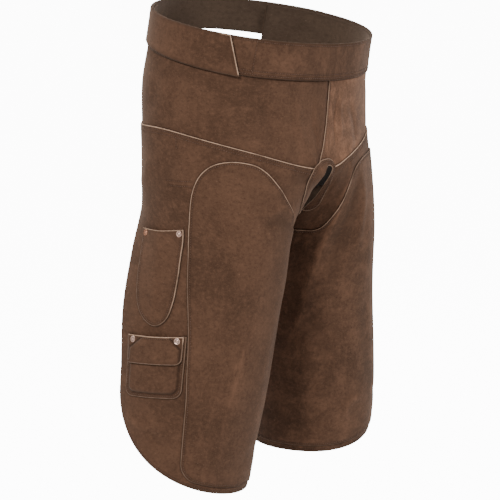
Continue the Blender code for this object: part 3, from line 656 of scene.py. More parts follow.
def flap_lift(girth, level):
    points = np.stack((girth * GIRTH_LENGTH, level), axis=-1)
    fold = TOOL_TOP - FLAP_HEIGHT
    low = flat_points([(-TOOL_FRONT, fold), (-TOOL_REAR, fold + TOOL_DROP)])
    curl = FLAP_CURL * np.exp(-distance_to(points, low, closed=False) / FLAP_CURL_REACH)
    return PATCH_LIFT + LAYER + tool_raise(girth, level) + curl


def strap_lift(girth, level):
    """The strap's end stands off the band a little where it isn't pressed down."""
    end = STRAP_END_LOW + (STRAP_END_TOP - STRAP_END_LOW) * (level + BAND_HALF) / BAND_HEIGHT
    return STRAP_LIFT + STRAP_STANDS * smooth(1 - (end - girth) * GIRTH_LENGTH / STRAP_PRESSED)


def evenly(amount):
    """The same lift, or the same share of painted light on a cut edge, all over a piece."""
    return lambda girth, level: np.full(np.shape(girth), amount)


def strap_end_light(girth, level):
    """Painted highlight on the strap's cut end only; its other cut edges are painted dark as shade."""
    cut = np.where(np.abs(level) < BAND_HALF - 0.0006, 1.0, 0.1)
    return np.where(girth > STRAP_END_TOP - 0.03, cut, 0.05)


def front_light(girth, level):
    """Painted highlight on the left yoke's cut edge along its front edge only; elsewhere its cut edge is
    painted dark as shade.
    """
    return np.where(girth < 0.012, 0.75, 0.05) * smooth((BAND_HALF - 0.010 - level) / 0.010)


def seam_light(girth, level):
    """Painted highlight on a leg panel's cut edge along its seam and its inner edge, and painted shade on it
    round its hem and rear.
    """
    on_seam = smooth((level + 0.225) / 0.03)
    inner = np.where(np.abs(girth) < 0.03, 0.7, 0.0)
    return np.maximum(on_seam * smooth((1.0 - np.abs(girth)) / 0.02), np.maximum(inner, 0.04))


def arch_light(girth, level):
    """Painted highlight on a wear patch's cut edge round its arch and its inner edge, less so down its side,
    and painted shade on it along its hem.
    """
    arch = smooth((level + 0.36) / 0.08) * np.where(girth > 0, smooth((-0.190 - level) / 0.03), 1.0)
    side = 0.35 * smooth((level + 0.66) / 0.04)
    inner = np.where(np.abs(girth) < 0.03, 0.8, 0.0)
    return np.maximum(np.maximum(arch * 0.85, side), inner)


def knife_light(girth, level):
    """Painted highlight on the knife pocket's cut edge along its mouth and front side, and painted shade on
    it at its rear.
    """
    front = smooth((0.870 - np.abs(girth)) / 0.06) * smooth((level + 0.405) / 0.03)
    mouth = smooth((level + 0.292) / 0.006)
    return 0.30 + 0.45 * np.maximum(front, mouth)


def flap_light(girth, level):
    """Painted highlight on the flap's cut edge, strongest along its riveted top edge."""
    return 0.35 + 0.65 * smooth((level - TOOL_TOP + 0.014) / 0.010)


def triangulated(outline, spacing, guides=()):
    """Fine, even triangles inside an outline, with close rows along its cut edge and along the guides."""
    rim = counter_clockwise(resampled(outline, spacing * 0.5, closed=True))
    rows = [inset(rim, away) for away in EDGE_ROWS]
    rows = [row[inside(row, rim) & (distance_to(row, rim) > EDGE_CLEAR)] for row in rows]
    low, high = rim.min(axis=0), rim.max(axis=0)
    lines = np.arange(low[1], high[1], spacing * 0.866)
    grid = []
    for index, y in enumerate(lines):
        xs = np.arange(low[0] + (index % 2) * spacing / 2, high[0], spacing)
        grid.append(np.stack((xs, np.full(len(xs), y)), axis=1))
    grid = np.concatenate(grid)
    grid = grid[inside(grid, rim)]
    grid = grid[distance_to(grid, rim) > EDGE_ROWS[-1] + spacing * 0.4]
    for guide in guides:
        line = resampled(guide, GUIDE_SPACING, closed=False)
        grid = grid[distance_to(grid, line, closed=False) > GUIDE_ROWS[-1] + GUIDE_SPACING / 2]
        for away in GUIDE_ROWS:
            row = inset(line, away, closed=False)
            row = row[inside(row, rim)]
            rows.append(row[distance_to(row, rim) > GUIDE_CLEAR])
    points = np.concatenate([rim, *rows, grid])
    loop = list(range(len(rim)))
    flat, _, faces, _, _, _ = delaunay_2d_cdt([Vector(p) for p in points], [], [loop], 1, 1e-6)
    flat = np.array([tuple(p) for p in flat])
    faces = np.array([tuple(face) for face in faces])
    corner = flat[faces]
    first, second = corner[:, 1] - corner[:, 0], corner[:, 2] - corner[:, 0]
    turned = first[:, 0] * second[:, 1] - first[:, 1] * second[:, 0]
    faces = faces[np.abs(turned) > 1e-11]
    turned = turned[np.abs(turned) > 1e-11]
    faces[turned < 0] = faces[turned < 0][:, ::-1]
    return flat, faces, rim


def boundary_edges(faces):
    """Edges that only one face uses, in that face's direction."""
    ends = np.concatenate([faces[:, [0, 1]], faces[:, [1, 2]], faces[:, [2, 0]]])
    _, index, count = np.unique(np.sort(ends, axis=1), axis=0, return_inverse=True, return_counts=True)
    return ends[count[index.reshape(-1)] == 1]


def near_lines(points, lines, width):
    """1 on any of the lines, fading out beside them."""
    found = np.zeros(len(points))
    for line in lines:
        found = np.maximum(found, np.exp(-((distance_to(points, line, closed=False) / width) ** 2)))
    return found


def write_values(mesh, name, values):
    mesh.attributes.new(name, "FLOAT", "POINT").data.foreach_set("value", values)


def cloth_mesh(name, outline, lift, wall, spacing, pattern_shift, rows, bare, covers):
    """A thin closed shell with rounded cut edges. Its edge attribute is the distance from the cut in mm, its
    shade is painted shade beside the edges of what covers it and along its sewn rows, its per-edge light mask
    says how far its cut edge is painted lit, showing the raw edge's lighter colour, rather than painted dark
    as shade, and its fold is 1 on a crease's ridge and -1 in its trough."""
    covers = [resampled(flat_points(line), GUIDE_SPACING, closed=False) for line in covers]
    flat, faces, rim = triangulated(flat_points(outline), spacing, (*covers, *rows))
    girth, level = flat[:, 0] / GIRTH_LENGTH, flat[:, 1]
    edge = distance_to(flat, rim)
    rounding = ROUNDING * (1 - np.minimum(edge / ROUNDING_REACH, 1.0)) ** 2
    sewn = near_lines(flat, rows, SEWN_WIDTH)
    # Painted shade beside the edges of what covers the piece, and a fainter painted shade along its sewn
    # rows.
    shade = np.maximum(near_lines(flat, covers, SHADE_WIDTH), SEWN_SHADE * sewn)
    x, y = flat[:, 0], flat[:, 1]
    pucker = np.sin(x * 610 + y * 130 + pattern_shift * 9) * np.sin(y * 570 - x * 170 + pattern_shift * 5)
    pucker = PUCKER * pucker * np.exp(-edge / PUCKER_REACH)
    draped = drape(girth, level)
    base = lift(girth, level) + draped
    outer, _ = surface(girth, level, base + wall - rounding - SEWN_DEPTH * sewn + pucker)
    inner, _ = surface(girth, level, base + rounding)
    border = boundary_edges(faces)
    order = np.unique(border)
    place = np.full(len(flat), -1)
    place[order] = np.arange(len(order))
    out = np.zeros_like(flat)
    along = flat[border[:, 1]] - flat[border[:, 0]]
    side = np.stack((along[:, 1], -along[:, 0]), axis=1)
    np.add.at(out, border[:, 0], side)
    np.add.at(out, border[:, 1], side)
    out = out[order] / np.maximum(np.hypot(out[order, 0], out[order, 1]), 1e-9)[:, None]
    middle_flat = flat[order] + out * EDGE_BULGE
    middle, _ = surface(middle_flat[:, 0] / GIRTH_LENGTH, middle_flat[:, 1], base[order] + wall / 2)
    count, plain, none = len(flat), np.zeros(len(flat)), np.zeros(len(order))
    points = np.concatenate([outer, inner, middle])
    start, end = border[:, 0], border[:, 1]
    mid_start, mid_end = 2 * count + place[start], 2 * count + place[end]
    upper = np.stack((end, start, mid_start, mid_end), axis=1)
    lower = np.stack((mid_end, mid_start, start + count, end + count), axis=1)
    triangles = np.concatenate([faces, faces[:, ::-1] + count])
    mesh = bpy.data.meshes.new(name)
    mesh.from_pydata(points.tolist(), [], triangles.tolist() + upper.tolist() + lower.tolist())
    light = np.asarray(bare(girth, level), dtype=float)
    fold = np.clip(draped / FOLD_FULL, -1.0, 1.0)
    write_values(mesh, "edge", np.concatenate([edge, edge, none]) * 1000)
    write_values(mesh, "shade", np.concatenate([shade, plain, none]))
    write_values(mesh, "bare", np.concatenate([light, light, light[order]]))
    write_values(mesh, "fold", np.concatenate([fold, plain, fold[order]]))
    pattern = np.concatenate([flat, flat, middle_flat]) + np.array((pattern_shift, pattern_shift * 0.37))
    layer = mesh.uv_layers.new(name="pattern")
    used = np.empty(len(mesh.loops), dtype=np.int32)
    mesh.loops.foreach_get("vertex_index", used)
    layer.data.foreach_set("uv", pattern[used].astype(np.float32).ravel())
    inner_faces = np.zeros(len(mesh.polygons), dtype=np.int32)
    inner_faces[len(faces) : 2 * len(faces)] = 1
    mesh.polygons.foreach_set("material_index", inner_faces)
    mesh.shade_smooth()
    mesh.update()
    return mesh


def add_piece(mesh, materials, nodes):
    """Shows a mesh as a piece that rides with the apron and stands for CAD nodes."""
    piece = bpy.data.objects.new(mesh.name, mesh)
    bpy.context.scene.collection.objects.link(piece)
    for material in materials:
        mesh.materials.append(material)
    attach(piece, "root")
    if nodes:
        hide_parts(*nodes)
    return piece


def sewn_rows(name, lines, wall, lift):
    """Rows of sewing on a piece: points on the cloth, and the cloth's normals there."""
    points, normals, edges = [], [], []
    for line in lines:
        line = resampled(line, ROW_STEP, closed=False)
        girth, level = line[:, 0] / GIRTH_LENGTH, line[:, 1]
        place, normal = surface(girth, level, lift(girth, level) + drape(girth, level) + wall - STITCH_SUNK)
        first = len(points)
        points.extend(place.tolist())
        normals.extend(normal.ravel().tolist())
        edges.extend((first + index, first + index + 1) for index in range(len(line) - 1))
    mesh = bpy.data.meshes.new(name + "_rows")
    mesh.from_pydata(points, edges, [])
    up = mesh.attributes.new("up", "FLOAT_VECTOR", "POINT")
    up.data.foreach_set("vector", normals)
    return mesh


def input_of(tree, name):
    return next(item.identifier for item in tree.interface.items_tree if item.name == name)


def stitch_tree():
    """Geometry Nodes: one short thread for each stitch along a row."""
    tree = bpy.data.node_groups.get("Stitch Rows")
    if tree:
        return tree
    tree = bpy.data.node_groups.new("Stitch Rows", "GeometryNodeTree")
    sockets = (
        ("Geometry", "NodeSocketGeometry", "INPUT"),
        ("Pitch", "NodeSocketFloat", "INPUT"),
        ("Stitch Length", "NodeSocketFloat", "INPUT"),
        ("Thread Radius", "NodeSocketFloat", "INPUT"),
        ("Material", "NodeSocketMaterial", "INPUT"),
        ("Geometry", "NodeSocketGeometry", "OUTPUT"),
    )
    for name, kind, way in sockets:
        tree.interface.new_socket(name, in_out=way, socket_type=kind)
    nodes, link = tree.nodes, tree.links.new
    entry = nodes.new("NodeGroupInput")
    leave = nodes.new("NodeGroupOutput")
    to_curve = nodes.new("GeometryNodeMeshToCurve")
    resample = nodes.new("GeometryNodeResampleCurve")
    resample.mode = "LENGTH"
    thread = nodes.new("GeometryNodeMeshUVSphere")
    thread.inputs["Segments"].default_value = 6
    thread.inputs["Rings"].default_value = 4
    thread.inputs["Radius"].default_value = 1.0
    place = nodes.new("GeometryNodeInstanceOnPoints")
    tangent = nodes.new("GeometryNodeInputTangent")
    up = nodes.new("GeometryNodeInputNamedAttribute")
    up.data_type = "FLOAT_VECTOR"
    up.inputs["Name"].default_value = "up"
    along = nodes.new("FunctionNodeAlignRotationToVector")
    along.axis = "X"
    stand = nodes.new("FunctionNodeAlignRotationToVector")
    stand.axis = "Z"
    stand.pivot_axis = "X"
    size = nodes.new("ShaderNodeCombineXYZ")
    half = nodes.new("ShaderNodeMath")
    half.operation = "MULTIPLY"
    half.inputs[1].default_value = 0.5
    realize = nodes.new("GeometryNodeRealizeInstances")
    shade = nodes.new("GeometryNodeSetShadeSmooth")
    finish = nodes.new("GeometryNodeSetMaterial")
    link(entry.outputs["Geometry"], to_curve.inputs["Mesh"])
    link(to_curve.outputs["Curve"], resample.inputs["Curve"])
    link(entry.outputs["Pitch"], resample.inputs["Length"])
    link(resample.outputs["Curve"], place.inputs["Points"])
    link(thread.outputs["Mesh"], place.inputs["Instance"])
    link(tangent.outputs["Tangent"], along.inputs["Vector"])
    link(along.outputs["Rotation"], stand.inputs["Rotation"])
    link(up.outputs["Attribute"], stand.inputs["Vector"])
    link(stand.outputs["Rotation"], place.inputs["Rotation"])
    link(entry.outputs["Stitch Length"], half.inputs[0])
    link(half.outputs["Value"], size.inputs["X"])
    link(entry.outputs["Thread Radius"], size.inputs["Y"])
    link(entry.outputs["Thread Radius"], size.inputs["Z"])
    link(size.outputs["Vector"], place.inputs["Scale"])
    link(place.outputs["Instances"], realize.inputs["Geometry"])
    link(realize.outputs["Geometry"], shade.inputs["Geometry"])
    link(shade.outputs["Geometry"], finish.inputs["Geometry"])
    link(entry.outputs["Material"], finish.inputs["Material"])
    link(finish.outputs["Geometry"], leave.inputs["Geometry"])
    return tree


def plain_mesh(name, source, tree, values):
    """Runs a Geometry Nodes tree on a mesh once, and gives the mesh that it makes."""
    holder = bpy.data.objects.new(name + "_source", source)
    bpy.context.scene.collection.objects.link(holder)
    modifier = holder.modifiers.new("Nodes", "NODES")
    modifier.node_group = tree
    for key, value in values.items():
        modifier[input_of(tree, key)] = value
    bpy.context.view_layer.update()
    graph = bpy.context.evaluated_depsgraph_get()
    made = bpy.data.meshes.new_from_object(holder.evaluated_get(graph))
    holder.modifiers.remove(modifier)
    bpy.data.objects.remove(holder)
    bpy.data.meshes.remove(source)
    made.name = name
    return made


def add_stitches(name, lines, wall, lift):
    """Sews rows onto a piece, as a piece of their own."""
    sizes = bpy.context.scene.apron_sizes
    values = {
        "Pitch": sizes.stitch_pitch,
        "Stitch Length": sizes.stitch_length,
        "Thread Radius": sizes.thread_radius,
        "Material": thread_material(),
    }
    mesh = plain_mesh(name, sewn_rows(name, lines, wall, lift), stitch_tree(), values)
    mesh.materials.clear()
    return add_piece(mesh, [thread_material()], ())


def row_all_round(outline, distance):
    """The row at a distance inside an outline."""
    rim = counter_clockwise(resampled(flat_points(outline), ROW_STEP, closed=True))
    row = inset(rim, distance)
    return row[distance_to(row, rim) > distance * 0.9]


def row_inside(line, distance, outline):
    """A line moved inwards by a distance, whichever way it runs round its outline."""
    line, outline = flat_points(line), flat_points(outline)
    row = inset(line, distance, closed=False)
    if inside(row, outline).mean() < 0.5:
        row = inset(line, -distance, closed=False)
    return row


def level_row(level, start, end):
    """A row of sewing that follows one level of the waistband."""
    return np.array([(girth * GIRTH_LENGTH, level) for girth in spaced(start, end, 60)])


def shader_tree(name):
    material = bpy.data.materials.new(name)
    material.use_nodes = True
    return material, material.node_tree, material.node_tree.nodes["Principled BSDF"]


# The parts of the suede's nap: the scale each follows, how many times it, detail, roughness and distortion
NAP = (
    ("Patches", "Patch Scale", 1.0, 5.0, 0.62, 0.2),
    ("Clouds", "Patch Scale", 3.2, 6.0, 0.66, 0.15),
    ("Blotches", "Patch Scale", 9.0, 5.0, 0.70, 0.1),
    ("Streaks", "Patch Scale", 11.0, 4.0, 0.62, 0.1),
    ("Speckle", "Grain Scale", 0.30, 3.0, 0.70, 0.0),
    ("Grain", "Grain Scale", 1.0, 3.0, 0.65, 0.2),
    ("Flecks", "Grain Scale", 0.62, 2.0, 0.5, 0.0),
)
BRUSHED = (1.0, 0.40, 1.0)


def nap_group():
    """The suede's nap from pattern coordinates: soft patches, brushed streaks, fine grain and flecks."""
    tree = bpy.data.node_groups.get("Suede Nap")
    if tree:
        return tree
    tree = bpy.data.node_groups.new("Suede Nap", "ShaderNodeTree")
    tree.interface.new_socket("Vector", in_out="INPUT", socket_type="NodeSocketVector")
    for name in ("Patch Scale", "Grain Scale"):
        tree.interface.new_socket(name, in_out="INPUT", socket_type="NodeSocketFloat")
    for row in NAP:
        tree.interface.new_socket(row[0], in_out="OUTPUT", socket_type="NodeSocketFloat")
    nodes, link = tree.nodes, tree.links.new
    entry, leave = nodes.new("NodeGroupInput"), nodes.new("NodeGroupOutput")
    brushed = nodes.new("ShaderNodeMapping")
    brushed.inputs["Scale"].default_value = BRUSHED
    link(entry.outputs["Vector"], brushed.inputs["Vector"])
    sparse = nodes.new("ShaderNodeMapRange")
    sparse.inputs["From Min"].default_value = 0.66
    sparse.inputs["From Max"].default_value = 0.76
    link(sparse.outputs["Result"], leave.inputs["Flecks"])
    for name, scale_from, times, detail, rough, distortion in NAP:
        noise = nodes.new("ShaderNodeTexNoise")
        noise.inputs["Detail"].default_value = detail
        noise.inputs["Roughness"].default_value = rough
        noise.inputs["Distortion"].default_value = distortion
        scale = nodes.new("ShaderNodeMath")
        scale.operation = "MULTIPLY"
        scale.inputs[1].default_value = times
        link(entry.outputs[scale_from], scale.inputs[0])
        link(scale.outputs[0], noise.inputs["Scale"])
        link((brushed if name == "Streaks" else entry).outputs["Vector"], noise.inputs["Vector"])
        link(noise.outputs["Fac"], sparse.inputs["Value"] if name == "Flecks" else leave.inputs[name])
    return tree


def mixed(tree, factor, first, second, amount=1.0):
    """A colour mix whose factor is a socket times an amount."""
    mix = tree.nodes.new("ShaderNodeMix")
    mix.data_type = "RGBA"
    scale = tree.nodes.new("ShaderNodeMath")
    scale.operation = "MULTIPLY"
    scale.use_clamp = True
    scale.inputs[1].default_value = amount
    tree.links.new(factor, scale.inputs[0])
    tree.links.new(scale.outputs[0], mix.inputs["Factor"])
    for socket, value in ((mix.inputs["A"], first), (mix.inputs["B"], second)):
        if isinstance(value, bpy.types.NodeSocket):
            tree.links.new(value, socket)
        else:
            socket.default_value = (*value, 1.0)
    return mix.outputs["Result"]


def ranged(tree, value, low, high, to_low=0.0, to_high=1.0):
    """A smooth range of a value."""
    found = tree.nodes.new("ShaderNodeMapRange")
    found.interpolation_type = "SMOOTHSTEP"
    found.inputs["From Min"].default_value = low
    found.inputs["From Max"].default_value = high
    found.inputs["To Min"].default_value = to_low
    found.inputs["To Max"].default_value = to_high
    tree.links.new(value, found.inputs["Value"])
    return found.outputs["Result"]


def attribute(tree, name):
    node = tree.nodes.new("ShaderNodeAttribute")
    node.attribute_name = name
    return node.outputs["Fac"]


def product(tree, first, second):
    node = tree.nodes.new("ShaderNodeMath")
    node.operation = "MULTIPLY"
    tree.links.new(first, node.inputs[0])
    tree.links.new(second, node.inputs[1])
    return node.outputs[0]


def bumped(tree, shader, height, strength):
    """Fine relief from a height socket."""
    bump = tree.nodes.new("ShaderNodeBump")
    bump.inputs["Strength"].default_value = strength
    bump.inputs["Distance"].default_value = 0.0005
    tree.links.new(height, bump.inputs["Height"])
    tree.links.new(bump.outputs["Normal"], shader.inputs["Normal"])


def object_noise(tree, scale, detail):
    where = tree.nodes.new("ShaderNodeTexCoord")
    noise = tree.nodes.new("ShaderNodeTexNoise")
    noise.inputs["Scale"].default_value = scale
    noise.inputs["Detail"].default_value = detail
    tree.links.new(where.outputs["Object"], noise.inputs["Vector"])
    return noise.outputs["Fac"]


def suede_material(name, dark, middle, light, edge, patch_scale=9.0, broad=0.3):
    """Brushed suede: mottled nap, a painted highlight on crease ridges and painted shade in their troughs, an
    uneven lighter cut edge that is painted dark as shade where it is not lit, a darker strip beside it, and
    painted shade beside the edges of what covers it and along its sewn rows.
    """
    found = bpy.data.materials.get(name)
    if found:
        return found
    found, tree, shader = shader_tree(name)
    pattern = tree.nodes.new("ShaderNodeUVMap")
    pattern.uv_map = "pattern"
    group = tree.nodes.new("ShaderNodeGroup")
    group.node_tree = nap_group()
    group.inputs["Patch Scale"].default_value = patch_scale
    group.inputs["Grain Scale"].default_value = 700.0
    tree.links.new(pattern.outputs["UV"], group.inputs["Vector"])
    nap = group.outputs
    colour = mixed(tree, ranged(tree, nap["Patches"], 0.36, 0.66), dark, middle)
    for part, low, high, tone, amount in (
        ("Clouds", 0.44, 0.66, light, broad),
        ("Blotches", 0.50, 0.76, light, 0.45),
        ("Streaks", 0.50, 0.78, light, 0.35),
        ("Speckle", 0.52, 0.70, light, 0.42),
        ("Speckle", 0.50, 0.32, scaled(dark, 0.72), 0.50),
        ("Grain", 0.35, 0.68, light, 0.22),
    ):
        colour = mixed(tree, ranged(tree, nap[part], low, high), colour, tone, amount)
    colour = mixed(tree, nap["Flecks"], colour, edge, 0.14)
    # Painted highlight on the crease ridges, broken up by the streaks, and painted shade in their troughs.
    fold = attribute(tree, "fold")
    ridge_highlight = product(tree, ranged(tree, fold, 0.35, 1.1), ranged(tree, nap["Streaks"], 0.36, 0.62))
    colour = mixed(tree, ridge_highlight, colour, scaled(light, 1.2), 0.55)
    colour = mixed(tree, ranged(tree, fold, -0.2, -1.0), colour, scaled(dark, 0.75), 0.38)
    distance = attribute(tree, "edge")
    colour = mixed(tree, ranged(tree, distance, 1.2, 6.5, 1.0, 0.0), colour, dark, 0.45)
    # Painted shade beside the edges of the pieces that lie on this one, and along its sewn rows.
    colour = mixed(tree, attribute(tree, "shade"), colour, scaled(dark, 0.30), 0.75)
    # The cut edge is painted dark as shade, and shows the raw edge's lighter colour, unevenly, only where the
    # piece's per-edge light mask paints it lit.
    cut = ranged(tree, distance, 0.65, 1.45, 1.0, 0.0)
    worn = product(tree, cut, ranged(tree, nap["Streaks"], 0.30, 0.55, 0.55, 1.0))
    colour = mixed(tree, cut, colour, scaled(dark, 0.55), 0.75)
    colour = mixed(tree, product(tree, worn, attribute(tree, "bare")), colour, edge, 0.95)
    tree.links.new(colour, shader.inputs["Base Color"])
    tree.links.new(ranged(tree, nap["Grain"], 0.3, 0.7, 0.97, 0.84), shader.inputs["Roughness"])
    bumped(tree, shader, nap["Grain"], 0.45)
    shader.inputs["Sheen Weight"].default_value = 0.28
    shader.inputs["Sheen Roughness"].default_value = 0.45
    shader.inputs["Sheen Tint"].default_value = (0.80, 0.62, 0.50, 1.0)
    shader.inputs["Specular IOR Level"].default_value = 0.15
    return found


def scaled(colour, amount):
    return tuple(channel * amount for channel in colour)


def toned_suede(name, brown, tones, patch_scale=9.0, broad=0.3):
    """A suede whose dark, middle and light tones are shares of one colour."""
    edge = tuple(bpy.context.scene.apron_colours.cut_edge)
    return suede_material(name, *(scaled(brown, tone) for tone in tones), edge, patch_scale, broad)


def outside():
    return toned_suede("brushed_suede", bpy.context.scene.apron_colours.suede, (0.68, 1.06, 1.75))


def mottled():
    """A darker copy of the suede, painted shade for the wearer's left side, whose nap is also brushed more
    unevenly.
    """
    brown = scaled(bpy.context.scene.apron_colours.suede, 0.84)
    return toned_suede("mottled_suede", brown, (0.74, 1.1, 2.1), broad=0.55)


def pale():
    """A lighter copy of the suede for the left hip panel: a painted highlight for the light that falls on it.
    """
    brown = scaled(bpy.context.scene.apron_colours.suede, 1.55)
    return toned_suede("pale_suede", brown, (0.62, 1.08, 1.9), broad=0.6)


def reverse():
    inner = bpy.context.scene.apron_colours.reverse
    return toned_suede("suede_inside", inner, (0.75, 1.0, 1.35), patch_scale=12.0)


def thread_material():
    found = bpy.data.materials.get("sewing_thread")
    if found:
        return found
    found, tree, shader = shader_tree("sewing_thread")
    noise = object_noise(tree, 900.0, 2.0)
    thread = tuple(bpy.context.scene.apron_colours.thread)
    colour = mixed(tree, ranged(tree, noise, 0.35, 0.65), scaled(thread, 0.7), scaled(thread, 1.3))
    tree.links.new(colour, shader.inputs["Base Color"])
    tree.links.new(ranged(tree, noise, 0.3, 0.7, 0.5, 0.75), shader.inputs["Roughness"])
    return found


def copper_material():
    found = bpy.data.materials.get("copper_cap")
    if found:
        return found
    found, tree, shader = shader_tree("copper_cap")
    noise = object_noise(tree, 420.0, 3.0)
    copper = tuple(bpy.context.scene.apron_colours.rivet)
    clean = mixed(tree, attribute(tree, "tone"), RIVET_SILVERY, copper)
    dull = mixed(tree, ranged(tree, noise, 0.42, 0.68), clean, scaled(copper, 0.45), 0.4)
    # The cap's hollow dish is painted dark as shade.
    colour = mixed(tree, attribute(tree, "dish"), dull, RIVET_DISH_SHADE, 0.8)
    tree.links.new(colour, shader.inputs["Base Color"])
    tree.links.new(ranged(tree, noise, 0.3, 0.7, 0.26, 0.44), shader.inputs["Roughness"])
    shader.inputs["Metallic"].default_value = 0.55
    return found


def webbing_material():
    """Woven tape: ribs along it and a fine twill across, from its own map of length and width."""
    found = bpy.data.materials.get("woven_tape")
    if found:
        return found
    found, tree, shader = shader_tree("woven_tape")
    pattern = tree.nodes.new("ShaderNodeUVMap")
    pattern.uv_map = "pattern"
    ribs = tree.nodes.new("ShaderNodeTexWave")
    ribs.bands_direction = "DIAGONAL"
    ribs.inputs["Scale"].default_value = 190.0
    ribs.inputs["Distortion"].default_value = 0.6
    ribs.inputs["Detail Scale"].default_value = 2.0
    tree.links.new(pattern.outputs["UV"], ribs.inputs["Vector"])
    weft = tree.nodes.new("ShaderNodeTexWave")
    weft.bands_direction = "X"
    weft.inputs["Scale"].default_value = 260.0
    tree.links.new(pattern.outputs["UV"], weft.inputs["Vector"])
    tape = tuple(bpy.context.scene.apron_colours.webbing)
    colour = mixed(tree, ribs.outputs["Fac"], scaled(tape, 0.55), scaled(tape, 1.3))
    colour = mixed(tree, weft.outputs["Fac"], colour, scaled(tape, 0.6), 0.35)
    tree.links.new(colour, shader.inputs["Base Color"])
    tree.links.new(ranged(tree, ribs.outputs["Fac"], 0.0, 1.0, 0.92, 0.78), shader.inputs["Roughness"])
    bumped(tree, shader, ribs.outputs["Fac"], 0.5)
    return found


def make_cloth(
    name, outline, lift, wall, spacing=0.005, shift=0.0, rows=(), bare=None,
    face=None, covers=(),
):
    mesh = cloth_mesh(name + "_cloth", outline, lift, wall, spacing, shift, rows, bare, covers)
    piece = add_piece(mesh, [face or outside(), reverse()], (name,))
    if rows:
        add_stitches(name + "_stitches", rows, wall, lift)
    return piece


def length_setting(name, description, default, low):
    """A length in metres with a lowest value."""
    return bpy.props.FloatProperty(
        name=name, description=description, default=default, min=low, unit="LENGTH",
    )


def colour_setting(name, description, default):
    return bpy.props.FloatVectorProperty(name=name, description=description, subtype="COLOR", default=default)


class ApronSizes(bpy.types.PropertyGroup):
    stitch_pitch: length_setting("Stitch pitch", "From one stitch to the next", 0.0036, 0.001)
    stitch_length: length_setting("Stitch length", "Thread that shows of a stitch", 0.0028, 0.0005)
    thread_radius: length_setting("Thread radius", "Half the thread's thickness", 0.00040, 0.0001)
    cloth_spacing: length_setting("Cloth mesh", "Side of the cloth's triangles", 0.005, 0.002)


class ApronColours(bpy.types.PropertyGroup):
    suede: colour_setting("Suede", "Outer face of the suede", (0.115, 0.058, 0.034))
    reverse: colour_setting("Reverse", "Inner face of the suede", (0.105, 0.068, 0.046))
    cut_edge: colour_setting("Cut edge", "Bare edge of a cut piece", (0.60, 0.39, 0.27))
    thread: colour_setting("Thread", "Sewing thread", (0.16, 0.085, 0.055))
    rivet: colour_setting("Rivet", "Copper of the rivet caps", (0.80, 0.38, 0.23))
    webbing: colour_setting("Webbing", "Thigh straps", (0.035, 0.026, 0.021))


class APRON_OT_yokes(bpy.types.Operator):
    """Makes the two hip panels, the left one lapped over the right one"""

    bl_idname = "apron.yokes"
    bl_label = "Hip Panels"

    def execute(self, context):
        spacing = context.scene.apron_sizes.cloth_spacing
        edge_levels = spaced(-BAND_HALF - 0.004, yoke_level(-1, FRONT_LAP) + 0.012, 30)
        front_line = [(float(front_edge(level)), level) for level in edge_levels]
        band_low = [(girth, -BAND_HALF) for girth in spaced(-0.99, 0.96, 120)]
        seams = {side: seam_line(side) for side in (-1, 1)}
        rows = []
        for distance in (ROW_NEAR, ROW_FAR):
            row = [(front_edge(level) * GIRTH_LENGTH + distance, level) for level in edge_levels]
            rows.append(np.array(row))
        left, right = yoke_outline(1), yoke_outline(-1)
        make_cloth(
            "yoke_right", right, under_lap, SUEDE, spacing=spacing, shift=1.7,
            bare=evenly(0.1), covers=(front_line, band_low, seams[-1]),
        )
        make_cloth(
            "yoke_left", left, evenly(0.0), SUEDE, spacing=spacing,
            shift=3.1, rows=rows, bare=front_light, face=pale(),
            covers=(band_low, seams[1], curve_through(HORSESHOE, 4)),
        )
        return {"FINISHED"}


class APRON_OT_waist(bpy.types.Operator):
    """Makes the waistband, and the belt that goes round the back and laps over the right front"""

    bl_idname = "apron.waist"
    bl_label = "Waistband and Belt"

    def execute(self, context):
        start, end = BAND_ENDS
        low = [-BAND_HALF + row for row in (ROW_NEAR, ROW_FAR)]
        rows = [level_row(level, start + 0.01, end - 0.01) for level in low]
        rows.append(level_row(BAND_HALF - ROW_NEAR, start + 0.01, end - 0.01))
        column = np.array([(-0.478 * GIRTH_LENGTH, level) for level in spaced(-0.020, 0.022, 12)])
        rows.append(column)
        make_cloth(
            "waistband", band_outline(), evenly(BAND_LIFT), BAND_WALL,
            spacing=0.004, shift=5.3, rows=rows, bare=evenly(0.05),
            face=mottled(),
            covers=([(STRAP_END_LOW, -BAND_HALF), (STRAP_END_TOP, BAND_HALF)],),
        )
        make_cloth(
            "waist_strap", strap_outline(), strap_lift, BAND_WALL,
            spacing=0.004, shift=7.9, bare=strap_end_light,
        )
        return {"FINISHED"}


class APRON_OT_legs(bpy.types.Operator):
    """Makes the two leg panels, which wrap the thighs and are open behind"""

    bl_idname = "apron.legs"
    bl_label = "Leg Panels"

    def execute(self, context):
        spacing = context.scene.apron_sizes.cloth_spacing
        for side, word in ((-1, "right"), (1, "left")):
            rows = []
            for distance in (ROW_NEAR, ROW_FAR):
                girths = spaced(0.16, 0.985, 80)
                seam = [(g * GIRTH_LENGTH * side, seam_level(side, g) - distance) for g in girths]
                rows.append(np.array(seam))
            for level, first, last in ((-0.202, 0.665, 0.755), (-0.209, 0.67, 0.745)):
                rows.append(np.array([(g * GIRTH_LENGTH * side, level) for g in spaced(first, last, 8)]))
            tack = [(0.71 * GIRTH_LENGTH * side, level) for level in spaced(-0.139, -0.154, 4)]
            rows.append(np.array(tack))
            hem_girths = spaced(0.02, 0.93, 80)
            hem = [(g * GIRTH_LENGTH * side, hem_level(side, g) + HEM_ROW) for g in hem_girths]
            rows.append(np.array(hem))
            make_cloth(
                f"leg_{word}", leg_outline(side), evenly(LEG_LIFT), SUEDE,
                spacing=spacing, shift=11.3 + 2.9 * side, rows=rows, bare=seam_light,
                face=mottled() if side > 0 else None, covers=leg_covers(side),
            )
        return {"FINISHED"}


